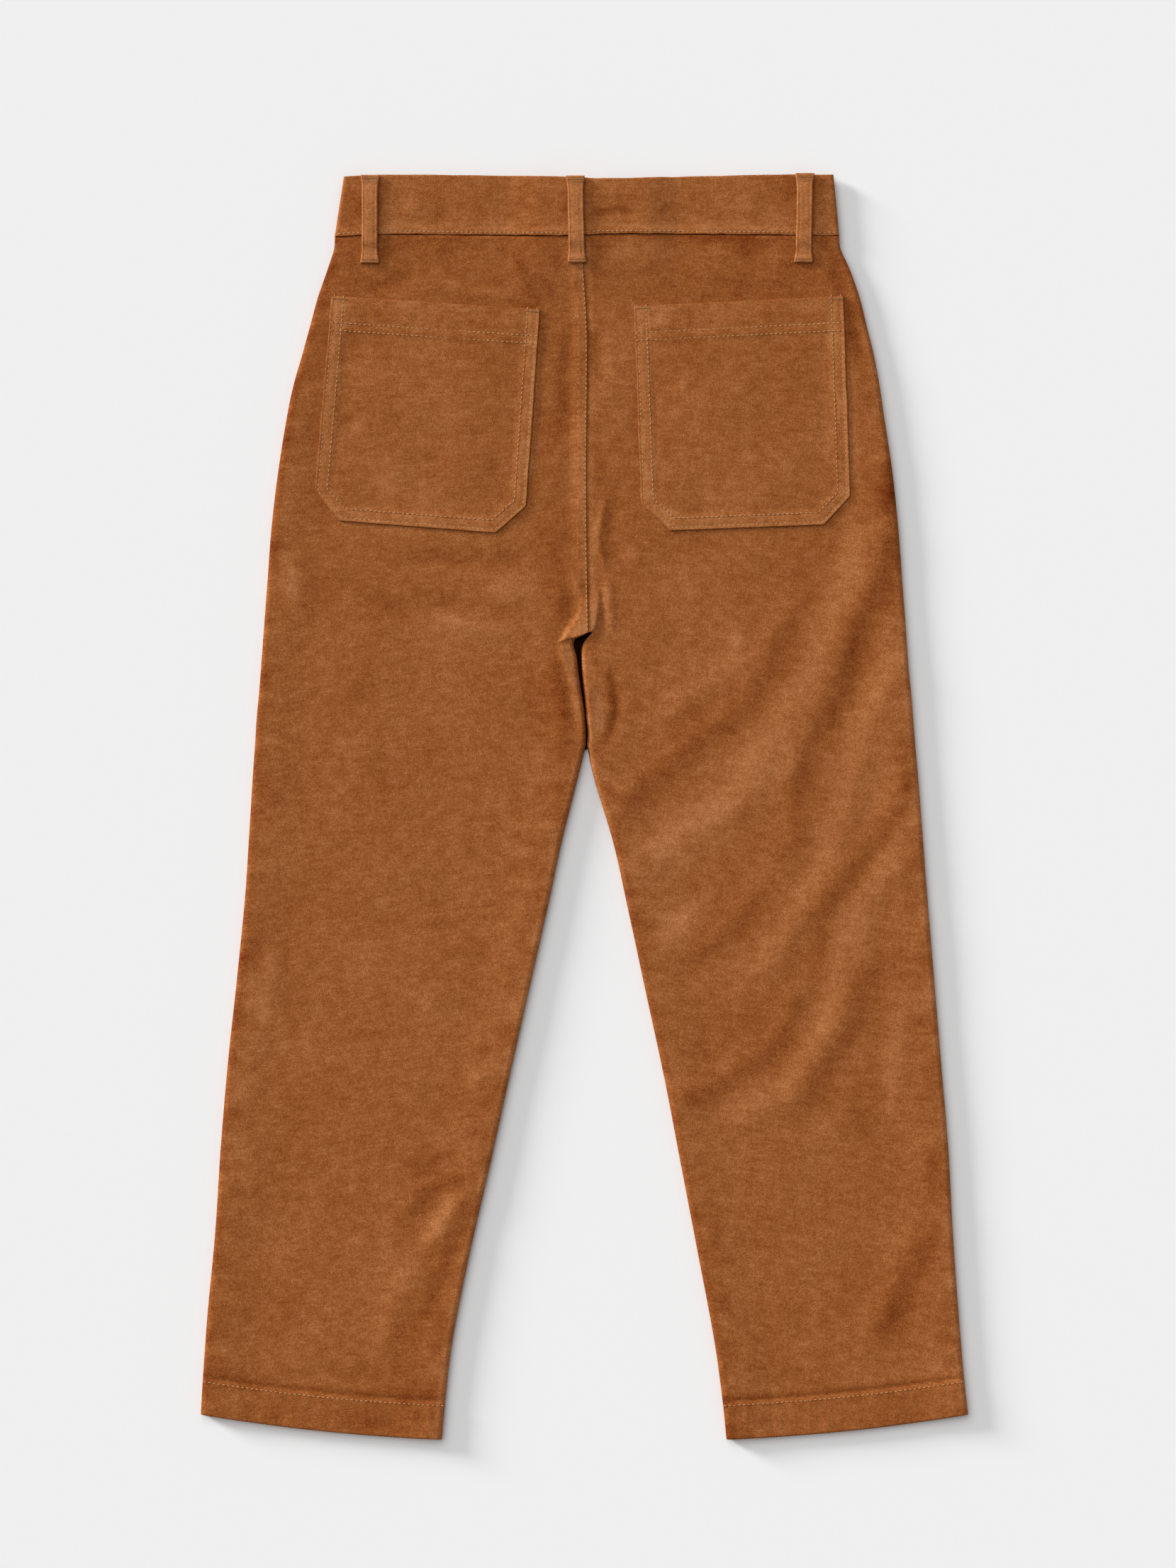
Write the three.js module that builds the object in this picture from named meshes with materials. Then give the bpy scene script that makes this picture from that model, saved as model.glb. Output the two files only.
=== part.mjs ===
// Corduroy trousers laid flat, face down, so that the seat and the two patch pockets show.
// Millimetres, +Z up. +Y runs from the hems to the waist and +X to the right, seen from above.
// The origin is the middle of the trousers' bounding box, on the surface they lie on.
// Every cloth piece is a wall: a grid of outer points, the same grid moved in by the cloth, and a rim.
import * as THREE from "three";

// Cloth and seams
const CLOTH = 1.3; // needlecord, with its pile
const SEAM_GAP = 0.3; // between two pieces that are sewn together
const BAND_CLOTH = 1.8; // the waistband is two layers
const HEM_CLOTH = 2.4; // the hem is turned up inside the leg
const HEM_DEPTH = 22;

// Heights above the surface
const SIDE_TOP = 6.4; // crown of the folded edge down each side
const ROLL = SIDE_TOP / 2; // radius of that edge
const SIDE_SAG = 1.1; // the middle of a leg lies this much lower than its edges
const SAG_REACH = 32; // from an edge to where the cloth has sagged in full
const WAIST_LIFT = 2.0; // loops and button under the waist hold it off the surface
const WAIST_TOP = 6.0;
const WAIST_RISE = { from: 250, to: 347, step: 0.3 }; // the back rises to the band, and ends a step below it
const FRONT_LIFT = { from: 285, to: 325 }; // the front leaves the surface here and is lifted in full there

// Seat seam, felled to the left
const FELL_WIDTH = 6.5;
const FELL_RAMP = 1.8;
const FELL_RISE = 0.8;

// The backs part at the crotch, and the fronts below it: open above these heights and closed below
const CROTCH_Y = 104.8;
const LEG_TOP = 103.9;
const FRONT_CROTCH = { open: 44, closed: 28 };
const SAG_JOIN = { from: 50, to: 118 }; // the inner edges of the legs stand up in full only below this length

// Front seam and lapped fly
const FRONT_SEAM_X = 1.5;
const FLY = { bottom: 232, full: 250, lap: 9.2, underlap: 15.4, rampFrom: 5, rampTo: 12 };
const FLY_LIFT = { rise: CLOTH + 0.4, from: 215, to: 228 };

// Waistband lap at the centre front, and the hump that it makes in what lies on it
const BAND_LAP = { end: 14.5, underEnd: -20, rampFrom: 17, rampTo: 30 };
const BAND_LIFT = BAND_CLOTH + SEAM_GAP;
const HUMP = { low: -26, high: 36, ramp: 22 };
const SEAT_HUMP = { rise: 1.6, from: 300, to: 346 }; // the same hump in the seat

// Sections across the seat, from the waist seam to the crotch: left edge, seat seam, right edge
const SEAT = [
  { y: 347.0, left: -151.5, seam: -0.9, right: 154.5 },
  { y: 339.0, left: -151.9, seam: -0.7, right: 155.3 },
  { y: 326.0, left: -155.9, seam: -0.2, right: 161.0 },
  { y: 309.0, left: -161.8, seam: 1.0, right: 167.0 },
  { y: 291.5, left: -166.6, seam: 1.9, right: 171.4 },
  { y: 274.0, left: -171.4, seam: 2.1, right: 175.7 },
  { y: 257.0, left: -176.3, seam: 2.0, right: 178.9 },
  { y: 240.0, left: -180.0, seam: 1.8, right: 181.4 },
  { y: 205.5, left: -185.6, seam: 1.5, right: 186.6 },
  { y: 171.0, left: -189.8, seam: 1.7, right: 190.3 },
  { y: 137.0, left: -192.4, seam: 2.2, right: 192.9 },
  { y: CROTCH_Y, left: -194.8, seam: 2.8, right: 195.3 },
];

// Sections across both legs, from the crotch to the hems. y is at the outer edges, drop is how
// much lower the inner edges are, and bow how far the middle of a section hangs below its chord.
const LEGS = [
  { y: LEG_TOP, drop: 0.0, bow: 0.0, outerL: -194.9, innerL: -5.4, innerR: 4.2, outerR: 195.4 },
  { y: 101.5, drop: 0.1, bow: 0.0, outerL: -195.1, innerL: -6.4, innerR: 0.8, outerR: 195.5 },
  { y: 98.0, drop: 0.2, bow: 0.0, outerL: -195.3, innerL: -6.2, innerR: -1.4, outerR: 195.8 },
  { y: 91.5, drop: 0.4, bow: 0.0, outerL: -195.8, innerL: -4.7, innerR: -1.9, outerR: 196.2 },
  { y: 79.5, drop: 0.8, bow: 0.0, outerL: -196.7, innerL: -3.1, innerR: -1.3, outerR: 197.2 },
  { y: 68.0, drop: 1.2, bow: 0.1, outerL: -197.6, innerL: -1.3, innerR: 0.0, outerR: 198.4 },
  { y: 57.0, drop: 1.6, bow: 0.1, outerL: -198.7, innerL: 0.4, innerR: 0.9, outerR: 199.3 },
  { y: 46.0, drop: 2.0, bow: 0.1, outerL: -199.5, innerL: 1.0, innerR: 2.0, outerR: 200.1 },
  { y: 39.0, drop: 2.2, bow: 0.2, outerL: -199.9, innerL: 0.8, innerR: 1.6, outerR: 200.7 },
  { y: 36.0, drop: 2.3, bow: 0.2, outerL: -200.1, innerL: -0.2, innerR: 2.4, outerR: 200.9 },
  { y: 30.0, drop: 2.5, bow: 0.2, outerL: -200.5, innerL: -1.6, innerR: 3.3, outerR: 201.4 },
  { y: 16.0, drop: 3.0, bow: 0.2, outerL: -201.5, innerL: -5.2, innerR: 7.0, outerR: 202.7 },
  { y: -18.0, drop: 4.1, bow: 0.4, outerL: -203.6, innerL: -14.0, innerR: 17.6, outerR: 205.3 },
  { y: -52.0, drop: 5.3, bow: 0.6, outerL: -205.8, innerL: -21.5, innerR: 25.4, outerR: 207.9 },
  { y: -104.0, drop: 7.0, bow: 0.9, outerL: -210.9, innerL: -33.6, innerR: 36.9, outerR: 212.2 },
  { y: -156.0, drop: 8.8, bow: 1.2, outerL: -216.5, innerL: -45.7, innerR: 48.5, outerR: 216.5 },
  { y: -207.0, drop: 10.5, bow: 1.5, outerL: -220.8, innerL: -57.3, innerR: 58.6, outerR: 220.8 },
  { y: -259.0, drop: 12.3, bow: 1.8, outerL: -224.2, innerL: -69.7, innerR: 68.9, outerR: 223.6 },
  { y: -310.0, drop: 14.0, bow: 2.1, outerL: -229.0, innerL: -80.1, innerR: 78.8, outerR: 227.3 },
  { y: -346.5, drop: 14.6, bow: 2.3, outerL: -231.6, innerL: -84.6, innerR: 83.9, outerR: 230.4 },
  { y: -368.8, drop: 15.2, bow: 2.5, outerL: -232.9, innerL: -86.6, innerR: 86.2, outerR: 232.9 },
];

const HEM_END = LEGS[LEGS.length - 1].y;
const HEM_LINE = HEM_END + HEM_DEPTH;
const HEM_RAMP = 1.5;

// The fold of cloth that the end of the seat seam throws over the crotch: its lower edge from left
// to right, and its sides above that edge
const FOLD_EDGE = [
  { x: -40.0, y: 104.35 },
  { x: -24.0, y: 102.0 },
  { x: -15.2, y: 100.1 },
  { x: -10.8, y: 101.6 },
  { x: -4.7, y: 102.6 },
  { x: 0.3, y: 104.4 },
  { x: 5.3, y: 106.6 },
  { x: 10.0, y: 108.6 },
  { x: 18.0, y: 106.4 },
  { x: 30.0, y: 104.35 },
];
const FOLD_SIDES = [
  { y: 100.2, left: -15.6, right: 2.4 },
  { y: 104.6, left: -12.9, right: 5.0 },
  { y: 108.7, left: -10.6, right: 7.8 },
  { y: 118.8, left: -4.6, right: 9.6 },
  { y: 128.0, left: -3.6, right: 10.4 },
  { y: 140.0, left: -5.0, right: 9.0 },
];
const FOLD_FLANKS = { outLeft: 0.8, inLeft: 3.5, inRight: 3, outRight: 1.5 }; // its sides slope over these
const CROTCH_FOLD = { rise: 2.4, from: 3, to: 30 }; // it is highest along its edge, and gone this far above
// The rows of the grids follow that edge, and are straight again this far from it
const BEND = { row: (CROTCH_Y + LEG_TOP) / 2, from: 0.5, to: 13 };

// The waistband's lower and upper edges
const BAND = [
  { x: -151.6, bottom: 345.6, top: 382.0 },
  { x: -120.0, bottom: 347.2, top: 383.4 },
  { x: -60.0, bottom: 346.6, top: 382.8 },
  { x: -4.0, bottom: 346.2, top: 381.8 },
  { x: 10.0, bottom: 347.1, top: 381.0 },
  { x: 70.0, bottom: 347.2, top: 382.4 },
  { x: 130.0, bottom: 346.6, top: 383.6 },
  { x: 154.6, bottom: 346.4, top: 383.3 },
];
const BAND_SIDE_TOP = { left: -146.0, right: 151.1 };

// Soft ridges and troughs of the back: the line of each crest, its rise and its half width
const FOLDS = [
  { line: [[175, 160], [168, 124], [146, 77], [125, 38], [108, -5], [88, -25]], rise: 1.5, half: 10 },
  { line: [[116, 120], [108, 98], [88, 79], [54, 59], [39, 34]], rise: 1.0, half: 9 },
  { line: [[184, 22], [170, -16], [151, -46], [133, -70], [116, -93], [93, -125]], rise: 1.3, half: 9 },
  { line: [[197, -54], [179, -83], [166, -110], [153, -136], [133, -160], [93, -194]], rise: 1.3, half: 9 },
  { line: [[200, -262], [183, -288], [174, -309], [166, -322]], rise: 1.0, half: 9 },
  { line: [[-77, -244], [-90, -272], [-107, -304], [-118, -328]], rise: 1.1, half: 9 },
  { line: [[-131, 130], [-97, 117], [-54, 111]], rise: -1.0, half: 10 },
  { line: [[150, 110], [128, 70], [104, 38]], rise: -0.8, half: 9 },
  { line: [[14, 190], [9, 176], [8, 154]], rise: 0.9, half: 5 },
  { line: [[15, 139], [15, 123], [13, 110]], rise: 0.8, half: 5 },
  { line: [[5, 78], [8, 64], [8, 54], [6, 42]], rise: 0.9, half: 4 },
  { line: [[-14, 98], [-9, 80], [-5, 62]], rise: 0.8, half: 6 },
];
const FOLD_TAPER = { length: 16, end: 0.35 }; // a fold dies away over this length, to this share at its ends
const FOLDS_TOP = { from: 300, to: 345 }; // and below the waistband

// Patch pockets: corners of the outline, top left first and clockwise, with the cut-off corners' size
const POCKETS = {
  left: {
    topLeft: [-153.3, 309.8],
    topRight: [-26.9, 301.6],
    bottomRight: [-36.5, 164.6],
    bottomLeft: [-165.0, 174.6],
    cutLeft: 16,
    cutRight: 17.5,
  },
  right: {
    topLeft: [29.9, 303.5],
    topRight: [157.1, 309.7],
    bottomRight: [161.8, 171.6],
    bottomLeft: [35.0, 166.6],
    cutLeft: 17,
    cutRight: 16.5,
  },
};
const POCKET = { lift: 0.45, cloth: 1.4, hemDepth: 20, hemRamp: 1.7, hemRise: 0.6, bellyRise: 0.5 };
POCKET.bodyFrom = 0.28; // share of the height down to the first even row below the mouth's hem
POCKET.bodyRows = 6;

// Belt loops: middle of the upper and lower end, and the sizes that they share
const LOOP = { width: 11.4, waist: 9.6, cloth: 1.9, lift: 0.3, turned: 3.4, rounded: 0.35, narrowed: 8.5 };
const LOOP_ARCH = { rise: 1.1, to: 13.6 }; // the arch rises from the turned end to this far along
const BACK_LOOPS = {
  left: { top: [-130.0, 382.9], bottom: [-130.2, 329.5] },
  centre: { top: [-5.6, 382.2], bottom: [-4.6, 329.7] },
  right: { top: [133.6, 384.0], bottom: [132.9, 329.9] },
};
const FRONT_LOOPS = {
  left: { top: [-84.0, 382.6], bottom: [-84.0, 329.5] },
  right: { top: [88.0, 382.6], bottom: [88.0, 329.5] },
};
const FRONT_LOOP_CLOTH = 1.6;
const LOOP_STEP = { from: 338, to: 344 }; // a back loop climbs from the seat to the band here
const LOOP_FELL = { left: -13, right: 6 }; // where the seat under the loops is raised by the felled seam

// Waist button, face down under the left end of the band
const BUTTON = { x: 4.0, y: 365.0, radius: 7.5, height: 1.6, bevel: 0.35, hole: 0.95, holeAt: 1.9 };

// How finely the grids are cut
const ROLL_STEPS = 3; // along the rounded edge of a panel
const BACK_COLUMNS = 10;
const FOLD_COLUMNS = 4; // beside the seat seam
const FOLD_REACH = 22;
const FRONT_COLUMNS = 7;
const POCKET_COLUMNS = 9;
const BAND_ROWS = 3;
const BAND_COLUMN = 9;
const LOOP_COLUMNS = 4;
const LOOP_STATIONS = [LOOP.turned, 9, 16, 24, 33, 42];

const CLOTH_FINISH = { color: 0x94572e, roughness: 0.92, metalness: 0 };
const BUTTON_FINISH = { color: 0x5b3a22, roughness: 0.45, metalness: 0 };

const clamp01 = (t) => Math.min(1, Math.max(0, t));
const lerp = (a, b, t) => a + (b - a) * t;

// 0 up to `from`, 1 past `to`, and an even S between them.
function ease(from, to, x) {
  const t = clamp01((x - from) / (to - from));
  return t * t * (3 - 2 * t);
}

// A column of a table at `at`, on a smooth curve through its rows. `key` names the column of places.
function column(table, key, name, at) {
  const rising = table[table.length - 1][key] > table[0][key];
  let i = 0;
  while (i < table.length - 2 && (rising ? at > table[i + 1][key] : at < table[i + 1][key])) i += 1;
  const slope = (j) => {
    const a = table[Math.max(0, j - 1)];
    const b = table[Math.min(table.length - 1, j + 1)];
    return (b[name] - a[name]) / (b[key] - a[key]);
  };
  const span = table[i + 1][key] - table[i][key];
  const t = clamp01((at - table[i][key]) / span);
  const from = table[i][name];
  const to = table[i + 1][name];
  const bend = t * (1 - t) * span * ((1 - t) * slope(i) - t * slope(i + 1));
  const straight = t * (1 - t) * (1 - 2 * t) * (to - from);
  return lerp(from, to, t) + bend - straight;
}

// Evenly spaced values from a to b, both ends in.
const steps = (a, b, n) => Array.from({ length: n + 1 }, (_, i) => lerp(a, b, i / n));

// A closed solid between two grids of the same size: rows of [x, y, z] points, seen from above.
function wall(upper, lower) {
  const rows = upper.length;
  const columns = upper[0].length;
  const positions = [...upper.flat(), ...lower.flat()].flat();
  const up = (r, c) => r * columns + c;
  const down = (r, c) => rows * columns + r * columns + c;
  const faces = [];
  const quad = (a, b, c, d) => faces.push(a, b, c, a, c, d);
  for (let r = 0; r < rows - 1; r += 1) {
    for (let c = 0; c < columns - 1; c += 1) {
      quad(up(r, c), up(r + 1, c), up(r + 1, c + 1), up(r, c + 1));
      quad(down(r, c), down(r, c + 1), down(r + 1, c + 1), down(r + 1, c));
    }
  }
  for (let c = 0; c < columns - 1; c += 1) {
    quad(up(0, c), up(0, c + 1), down(0, c + 1), down(0, c));
    quad(up(rows - 1, c + 1), up(rows - 1, c), down(rows - 1, c), down(rows - 1, c + 1));
  }
  for (let r = 0; r < rows - 1; r += 1) {
    quad(up(r + 1, 0), up(r, 0), down(r, 0), down(r + 1, 0));
    quad(up(r, columns - 1), up(r + 1, columns - 1), down(r + 1, columns - 1), down(r, columns - 1));
  }
  const geometry = new THREE.BufferGeometry();
  geometry.setAttribute("position", new THREE.Float32BufferAttribute(positions, 3));
  geometry.setIndex(faces);
  return geometry;
}

// Mirrors a grid's columns, so that its left-hand end comes first.
const turned = (grid) => grid.map((row) => [...row].reverse());

function distanceToLine(line, x, y) {
  let nearest = Infinity;
  let along = 0;
  let total = 0;
  for (let i = 0; i < line.length - 1; i += 1) {
    const [ax, ay] = line[i];
    const dx = line[i + 1][0] - ax;
    const dy = line[i + 1][1] - ay;
    const length = Math.hypot(dx, dy);
    const t = clamp01(((x - ax) * dx + (y - ay) * dy) / (length * length));
    const away = Math.hypot(x - ax - t * dx, y - ay - t * dy);
    if (away < nearest) {
      nearest = away;
      along = total + t * length;
    }
    total += length;
  }
  return { away: nearest, toEnd: Math.min(along, total - along) };
}

function foldRise(x, y) {
  return FOLDS.reduce((sum, fold) => {
    const { away, toEnd } = distanceToLine(fold.line, x, y);
    const crest = Math.exp(-((away / fold.half) ** 2));
    return sum + fold.rise * crest * lerp(FOLD_TAPER.end, 1, ease(0, FOLD_TAPER.length, toEnd));
  }, 0);
}

function hump(x) {
  const leftRamp = ease(HUMP.low - HUMP.ramp, HUMP.low, x);
  return leftRamp * (1 - ease(HUMP.high, HUMP.high + HUMP.ramp, x));
}

// Underside of the fronts: on the surface, but lifted towards the waist.
const floorAt = (y) => WAIST_LIFT * ease(FRONT_LIFT.from, FRONT_LIFT.to, y);

// 0 below the waist and 1 at its seam.
const waistShare = (y) => ease(WAIST_RISE.from, WAIST_RISE.to, y);

// Top of the backs. `outside` and `inside` are the distances to a panel's two folded edges.
function topAt(x, y, outside, inside = Infinity) {
  const edgeUp = (1 - ease(0, SAG_REACH, inside)) * (1 - ease(SAG_JOIN.from, SAG_JOIN.to, y));
  const sag = SIDE_SAG * ease(0, SAG_REACH, outside) * (1 - edgeUp);
  const level = lerp(SIDE_TOP - sag, WAIST_TOP - WAIST_RISE.step, waistShare(y));
  const lifted = SEAT_HUMP.rise * hump(x) * ease(SEAT_HUMP.from, SEAT_HUMP.to, y);
  return level + lifted + foldRise(x, y) * (1 - ease(FOLDS_TOP.from, FOLDS_TOP.to, y));
}

// Height of the side seams, halfway between the surface and the crown of the edge.
const seamHeight = (y) => (floorAt(y) + lerp(SIDE_TOP, WAIST_TOP, waistShare(y))) / 2;

const bandBottom = (x) => column(BAND, "x", "bottom", x);
const bandTop = (x) => column(BAND, "x", "top", x);

// Rows of the grids, from the waist to the hem. The seat ends where the legs part.
const BACK_ROWS = {
  seat: [...steps(SEAT[0].y, 126, 13), 118, 112, 108.5, 106.2, CROTCH_Y],
  legs: [LEG_TOP, 102.6, 99, 94, 87, 79, 70, 61, 52, 44, 40, 36, 32, 28, ...steps(18, HEM_LINE, 18)],
};
const FRONT_ROWS = {
  seat: [...steps(SEAT[0].y, FLY.bottom, 3), ...steps(FLY.bottom, CROTCH_Y, 3).slice(1)],
  fly: [FRONT_LIFT.to, FRONT_LIFT.from, FLY.full, FLY_LIFT.to, FLY_LIFT.from],
  legs: [LEG_TOP, 74, FRONT_CROTCH.open, FRONT_CROTCH.closed, ...steps(0, HEM_LINE, 9)],
};

// The sections of one side of the trousers, from the waist to the hem. `side` is -1 left, 1 right.
function sections(side, seatRows, legRows) {
  const edge = side < 0 ? "left" : "right";
  const leg = side < 0 ? "L" : "R";
  const fromTop = [...new Set(seatRows)].sort((a, b) => b - a);
  const seat = fromTop.map((y, i) => ({
    outer: [column(SEAT, "y", edge, y), y],
    inner: [column(SEAT, "y", "seam", y), y],
    bow: 0,
    folded: false,
    atWaist: i === 0,
    bends: true,
  }));
  const legs = [...legRows, HEM_LINE - HEM_RAMP, HEM_END].map((y) => ({
    outer: [column(LEGS, "y", `outer${leg}`, y), y],
    inner: [column(LEGS, "y", `inner${leg}`, y), y - column(LEGS, "y", "drop", y)],
    bow: column(LEGS, "y", "bow", y),
    folded: true,
    atWaist: false,
    bends: true,
  }));
  return [...seat, ...legs];
}

// Thickness of the cloth at a height, where the hem is doubled.
const clothAt = (y) => lerp(HEM_CLOTH, CLOTH, ease(HEM_LINE - HEM_RAMP, HEM_LINE, y));

// Lower edge of the fold over the crotch.
const foldEdge = (x) => column(FOLD_EDGE, "x", "y", x);

const sectionWidth = (s) => Math.hypot(s.inner[0] - s.outer[0], s.inner[1] - s.outer[1]);

// A point of a section, `from` mm in from its outer edge.
function alongSection(section, from) {
  const t = from / sectionWidth(section);
  const x = lerp(section.outer[0], section.inner[0], t);
  if (section.atWaist) return [x, bandBottom(x) - SEAM_GAP];
  const y = lerp(section.outer[1], section.inner[1], t) - section.bow * 4 * t * (1 - t);
  const bend = section.bends ? 1 - ease(BEND.from, BEND.to, Math.abs(section.outer[1] - BEND.row)) : 0;
  return [x, y + (foldEdge(x) - BEND.row) * bend];
}

// Rise of the felled seat seam, and of the fold that its end throws over the crotch.
function seamRise(side, toSeam, x, y, section) {
  if (section.folded) return 0;
  const fell = side < 0 ? FELL_RISE * (1 - ease(FELL_WIDTH, FELL_WIDTH + FELL_RAMP, toSeam)) : 0;
  const left = column(FOLD_SIDES, "y", "left", y);
  const right = column(FOLD_SIDES, "y", "right", y);
  const pastLeft = ease(left - FOLD_FLANKS.outLeft, left + FOLD_FLANKS.inLeft, x);
  const pastRight = ease(right - FOLD_FLANKS.inRight, right + FOLD_FLANKS.outRight, x);
  const up = 1 - ease(CROTCH_FOLD.from, CROTCH_FOLD.to, y - foldEdge(x));
  return fell + CROTCH_FOLD.rise * up * pastLeft * (1 - pastRight);
}

// The back of one leg and half of the seat: rolled down to the side seam along its outer edge, and
// along its inner edge too below the crotch, where it ends on the inseam.
function backPanel(side) {
  const outer = [];
  const inner = [];
  for (const section of sections(side, BACK_ROWS.seat, BACK_ROWS.legs)) {
    const width = sectionWidth(section);
    const y = section.outer[1];
    const cloth = clothAt(y);
    const seam = seamHeight(y);
    const outerRow = [];
    const innerRow = [];
    const put = (from, z, low) => {
      const [px, py] = alongSection(section, from);
      outerRow.push([px, py, z]);
      innerRow.push([px, py, low]);
    };
    const crownAt = (from) => {
      const [px, py] = alongSection(section, from);
      const inside = section.folded ? width - from - ROLL : Infinity;
      return topAt(px, py, from - ROLL, inside) + seamRise(side, width - from, px, py, section);
    };
    // Outer edge, from the side seam up to the crown
    for (const t of steps(0, 1, ROLL_STEPS)) {
      const angle = (t * Math.PI) / 2;
      const crown = crownAt(ROLL);
      const [ox, oy] = alongSection(section, ROLL * (1 - Math.cos(angle)));
      const [ix, iy] = alongSection(section, ROLL - (ROLL - cloth) * Math.cos(angle));
      const low = seam + SEAM_GAP / 2;
      outerRow.push([ox, oy, Math.max(low, seam + (crown - seam) * Math.sin(angle))]);
      innerRow.push([ix, iy, Math.max(low, seam + (crown - cloth - seam) * Math.sin(angle))]);
    }
    // Across the panel
    const fellAt = width - FELL_WIDTH - FELL_RAMP;
    const plain = steps(ROLL, width - FOLD_REACH, BACK_COLUMNS).slice(1);
    const beside = steps(width - FOLD_REACH, fellAt, FOLD_COLUMNS).slice(1);
    for (const from of [...plain, ...beside, width - FELL_WIDTH]) {
      const crown = crownAt(from);
      const rise = section.folded ? 0 : seamRise(side, width - from, ...alongSection(section, from), section);
      put(from, crown, crown - rise - cloth);
    }
    // Inner edge
    for (const t of steps(0, 1, ROLL_STEPS)) {
      const angle = (t * Math.PI) / 2;
      const depth = ROLL * (1 - Math.sin(angle));
      if (section.folded) {
        const crown = crownAt(width - ROLL);
        const opened = clamp01((y - FRONT_CROTCH.closed) / (FRONT_CROTCH.open - FRONT_CROTCH.closed));
        const end = lerp(seamHeight(y) + SEAM_GAP / 2, CLOTH + SEAM_GAP, opened);
        const [ox, oy] = alongSection(section, width - depth);
        const [ix, iy] = alongSection(section, width - ROLL + (ROLL - cloth) * Math.sin(angle));
        outerRow.push([ox, oy, lerp(end, crown, Math.cos(angle))]);
        innerRow.push([ix, iy, lerp(end, crown - cloth, Math.cos(angle))]);
      } else {
        const gap = (SEAM_GAP / 2) * t;
        const from = width - depth - gap;
        const rise = seamRise(side, width - from, ...alongSection(section, from), section);
        const crown = crownAt(from);
        put(from, crown, crown - rise - cloth);
      }
    }
    outer.push(outerRow);
    inner.push(innerRow);
  }
  return side < 0 ? wall(outer, inner) : wall(turned(outer), turned(inner));
}

// Where the front of one side ends at the centre: at the seam, or past it where the fly laps.
function frontEnd(side, y) {
  const open = ease(FLY.bottom, FLY.full, y);
  if (side < 0) return FRONT_SEAM_X - SEAM_GAP / 2 + open * FLY.lap;
  return FRONT_SEAM_X + SEAM_GAP / 2 - open * FLY.underlap;
}

// The right front is lifted where the left front laps over it.
function frontLift(side, x, y) {
  if (side < 0) return 0;
  const edge = FRONT_SEAM_X + FLY.lap;
  const under = 1 - ease(edge + FLY.rampFrom, edge + FLY.rampTo, x);
  return FLY_LIFT.rise * under * ease(FLY_LIFT.from, FLY_LIFT.to, y);
}

// The front of one leg and half of the trunk: flat on the surface, and rolled up to the seams.
function frontPanel(side) {
  const outer = [];
  const inner = [];
  for (const section of sections(side, [...FRONT_ROWS.seat, ...FRONT_ROWS.fly], FRONT_ROWS.legs)) {
    const y = section.outer[1];
    const closed = y <= FRONT_CROTCH.closed;
    section.bends = false;
    if (!section.folded) section.inner = [frontEnd(side, y), y];
    if (section.folded && !closed) section.inner[0] = FRONT_SEAM_X + (side * SEAM_GAP) / 2;
    const width = sectionWidth(section);
    const cloth = clothAt(y);
    const floor = floorAt(y);
    const seam = seamHeight(y) - SEAM_GAP / 2;
    const outerRow = [];
    const innerRow = [];
    for (const t of steps(0, 1, ROLL_STEPS)) {
      const angle = (t * Math.PI) / 2;
      const [ox, oy] = alongSection(section, ROLL * (1 - Math.cos(angle)));
      const [ix, iy] = alongSection(section, ROLL - (ROLL - cloth) * Math.cos(angle));
      outerRow.push([ox, oy, lerp(seam, floor, Math.sin(angle))]);
      innerRow.push([ix, iy, lerp(seam, Math.min(seam, floor + cloth), Math.sin(angle))]);
    }
    const edge = FRONT_SEAM_X + FLY.lap;
    const plain = section.folded || side < 0;
    const end = plain ? 0 : edge - section.inner[0];
    const rampTo = width - end - FLY.rampTo;
    const rampFrom = width - end - FLY.rampFrom;
    for (const from of [...steps(ROLL, rampTo, FRONT_COLUMNS).slice(1), rampFrom]) {
      const [px, py] = alongSection(section, from);
      const z = floor + frontLift(side, px, py);
      outerRow.push([px, py, z]);
      innerRow.push([px, py, z + cloth]);
    }
    for (const t of steps(0, 1, ROLL_STEPS)) {
      const angle = (t * Math.PI) / 2;
      const depth = ROLL * (1 - Math.sin(angle));
      const [ox, oy] = alongSection(section, width - depth);
      if (closed) {
        const [ix, iy] = alongSection(section, width - ROLL + (ROLL - cloth) * Math.sin(angle));
        outerRow.push([ox, oy, lerp(seam, floor, Math.cos(angle))]);
        innerRow.push([ix, iy, lerp(seam, Math.min(seam, floor + cloth), Math.cos(angle))]);
      } else {
        const z = floor + frontLift(side, ox, oy);
        outerRow.push([ox, oy, z]);
        innerRow.push([ox, oy, z + cloth]);
      }
    }
    outer.push(outerRow);
    inner.push(innerRow);
  }
  return side < 0 ? wall(inner, outer) : wall(turned(inner), turned(outer));
}

// The waistband's side edge at a height between its lower and upper edges.
function bandSide(side, share) {
  const low = side < 0 ? BAND[0].x : BAND[BAND.length - 1].x;
  return lerp(low, side < 0 ? BAND_SIDE_TOP.left : BAND_SIDE_TOP.right, share);
}

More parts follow.
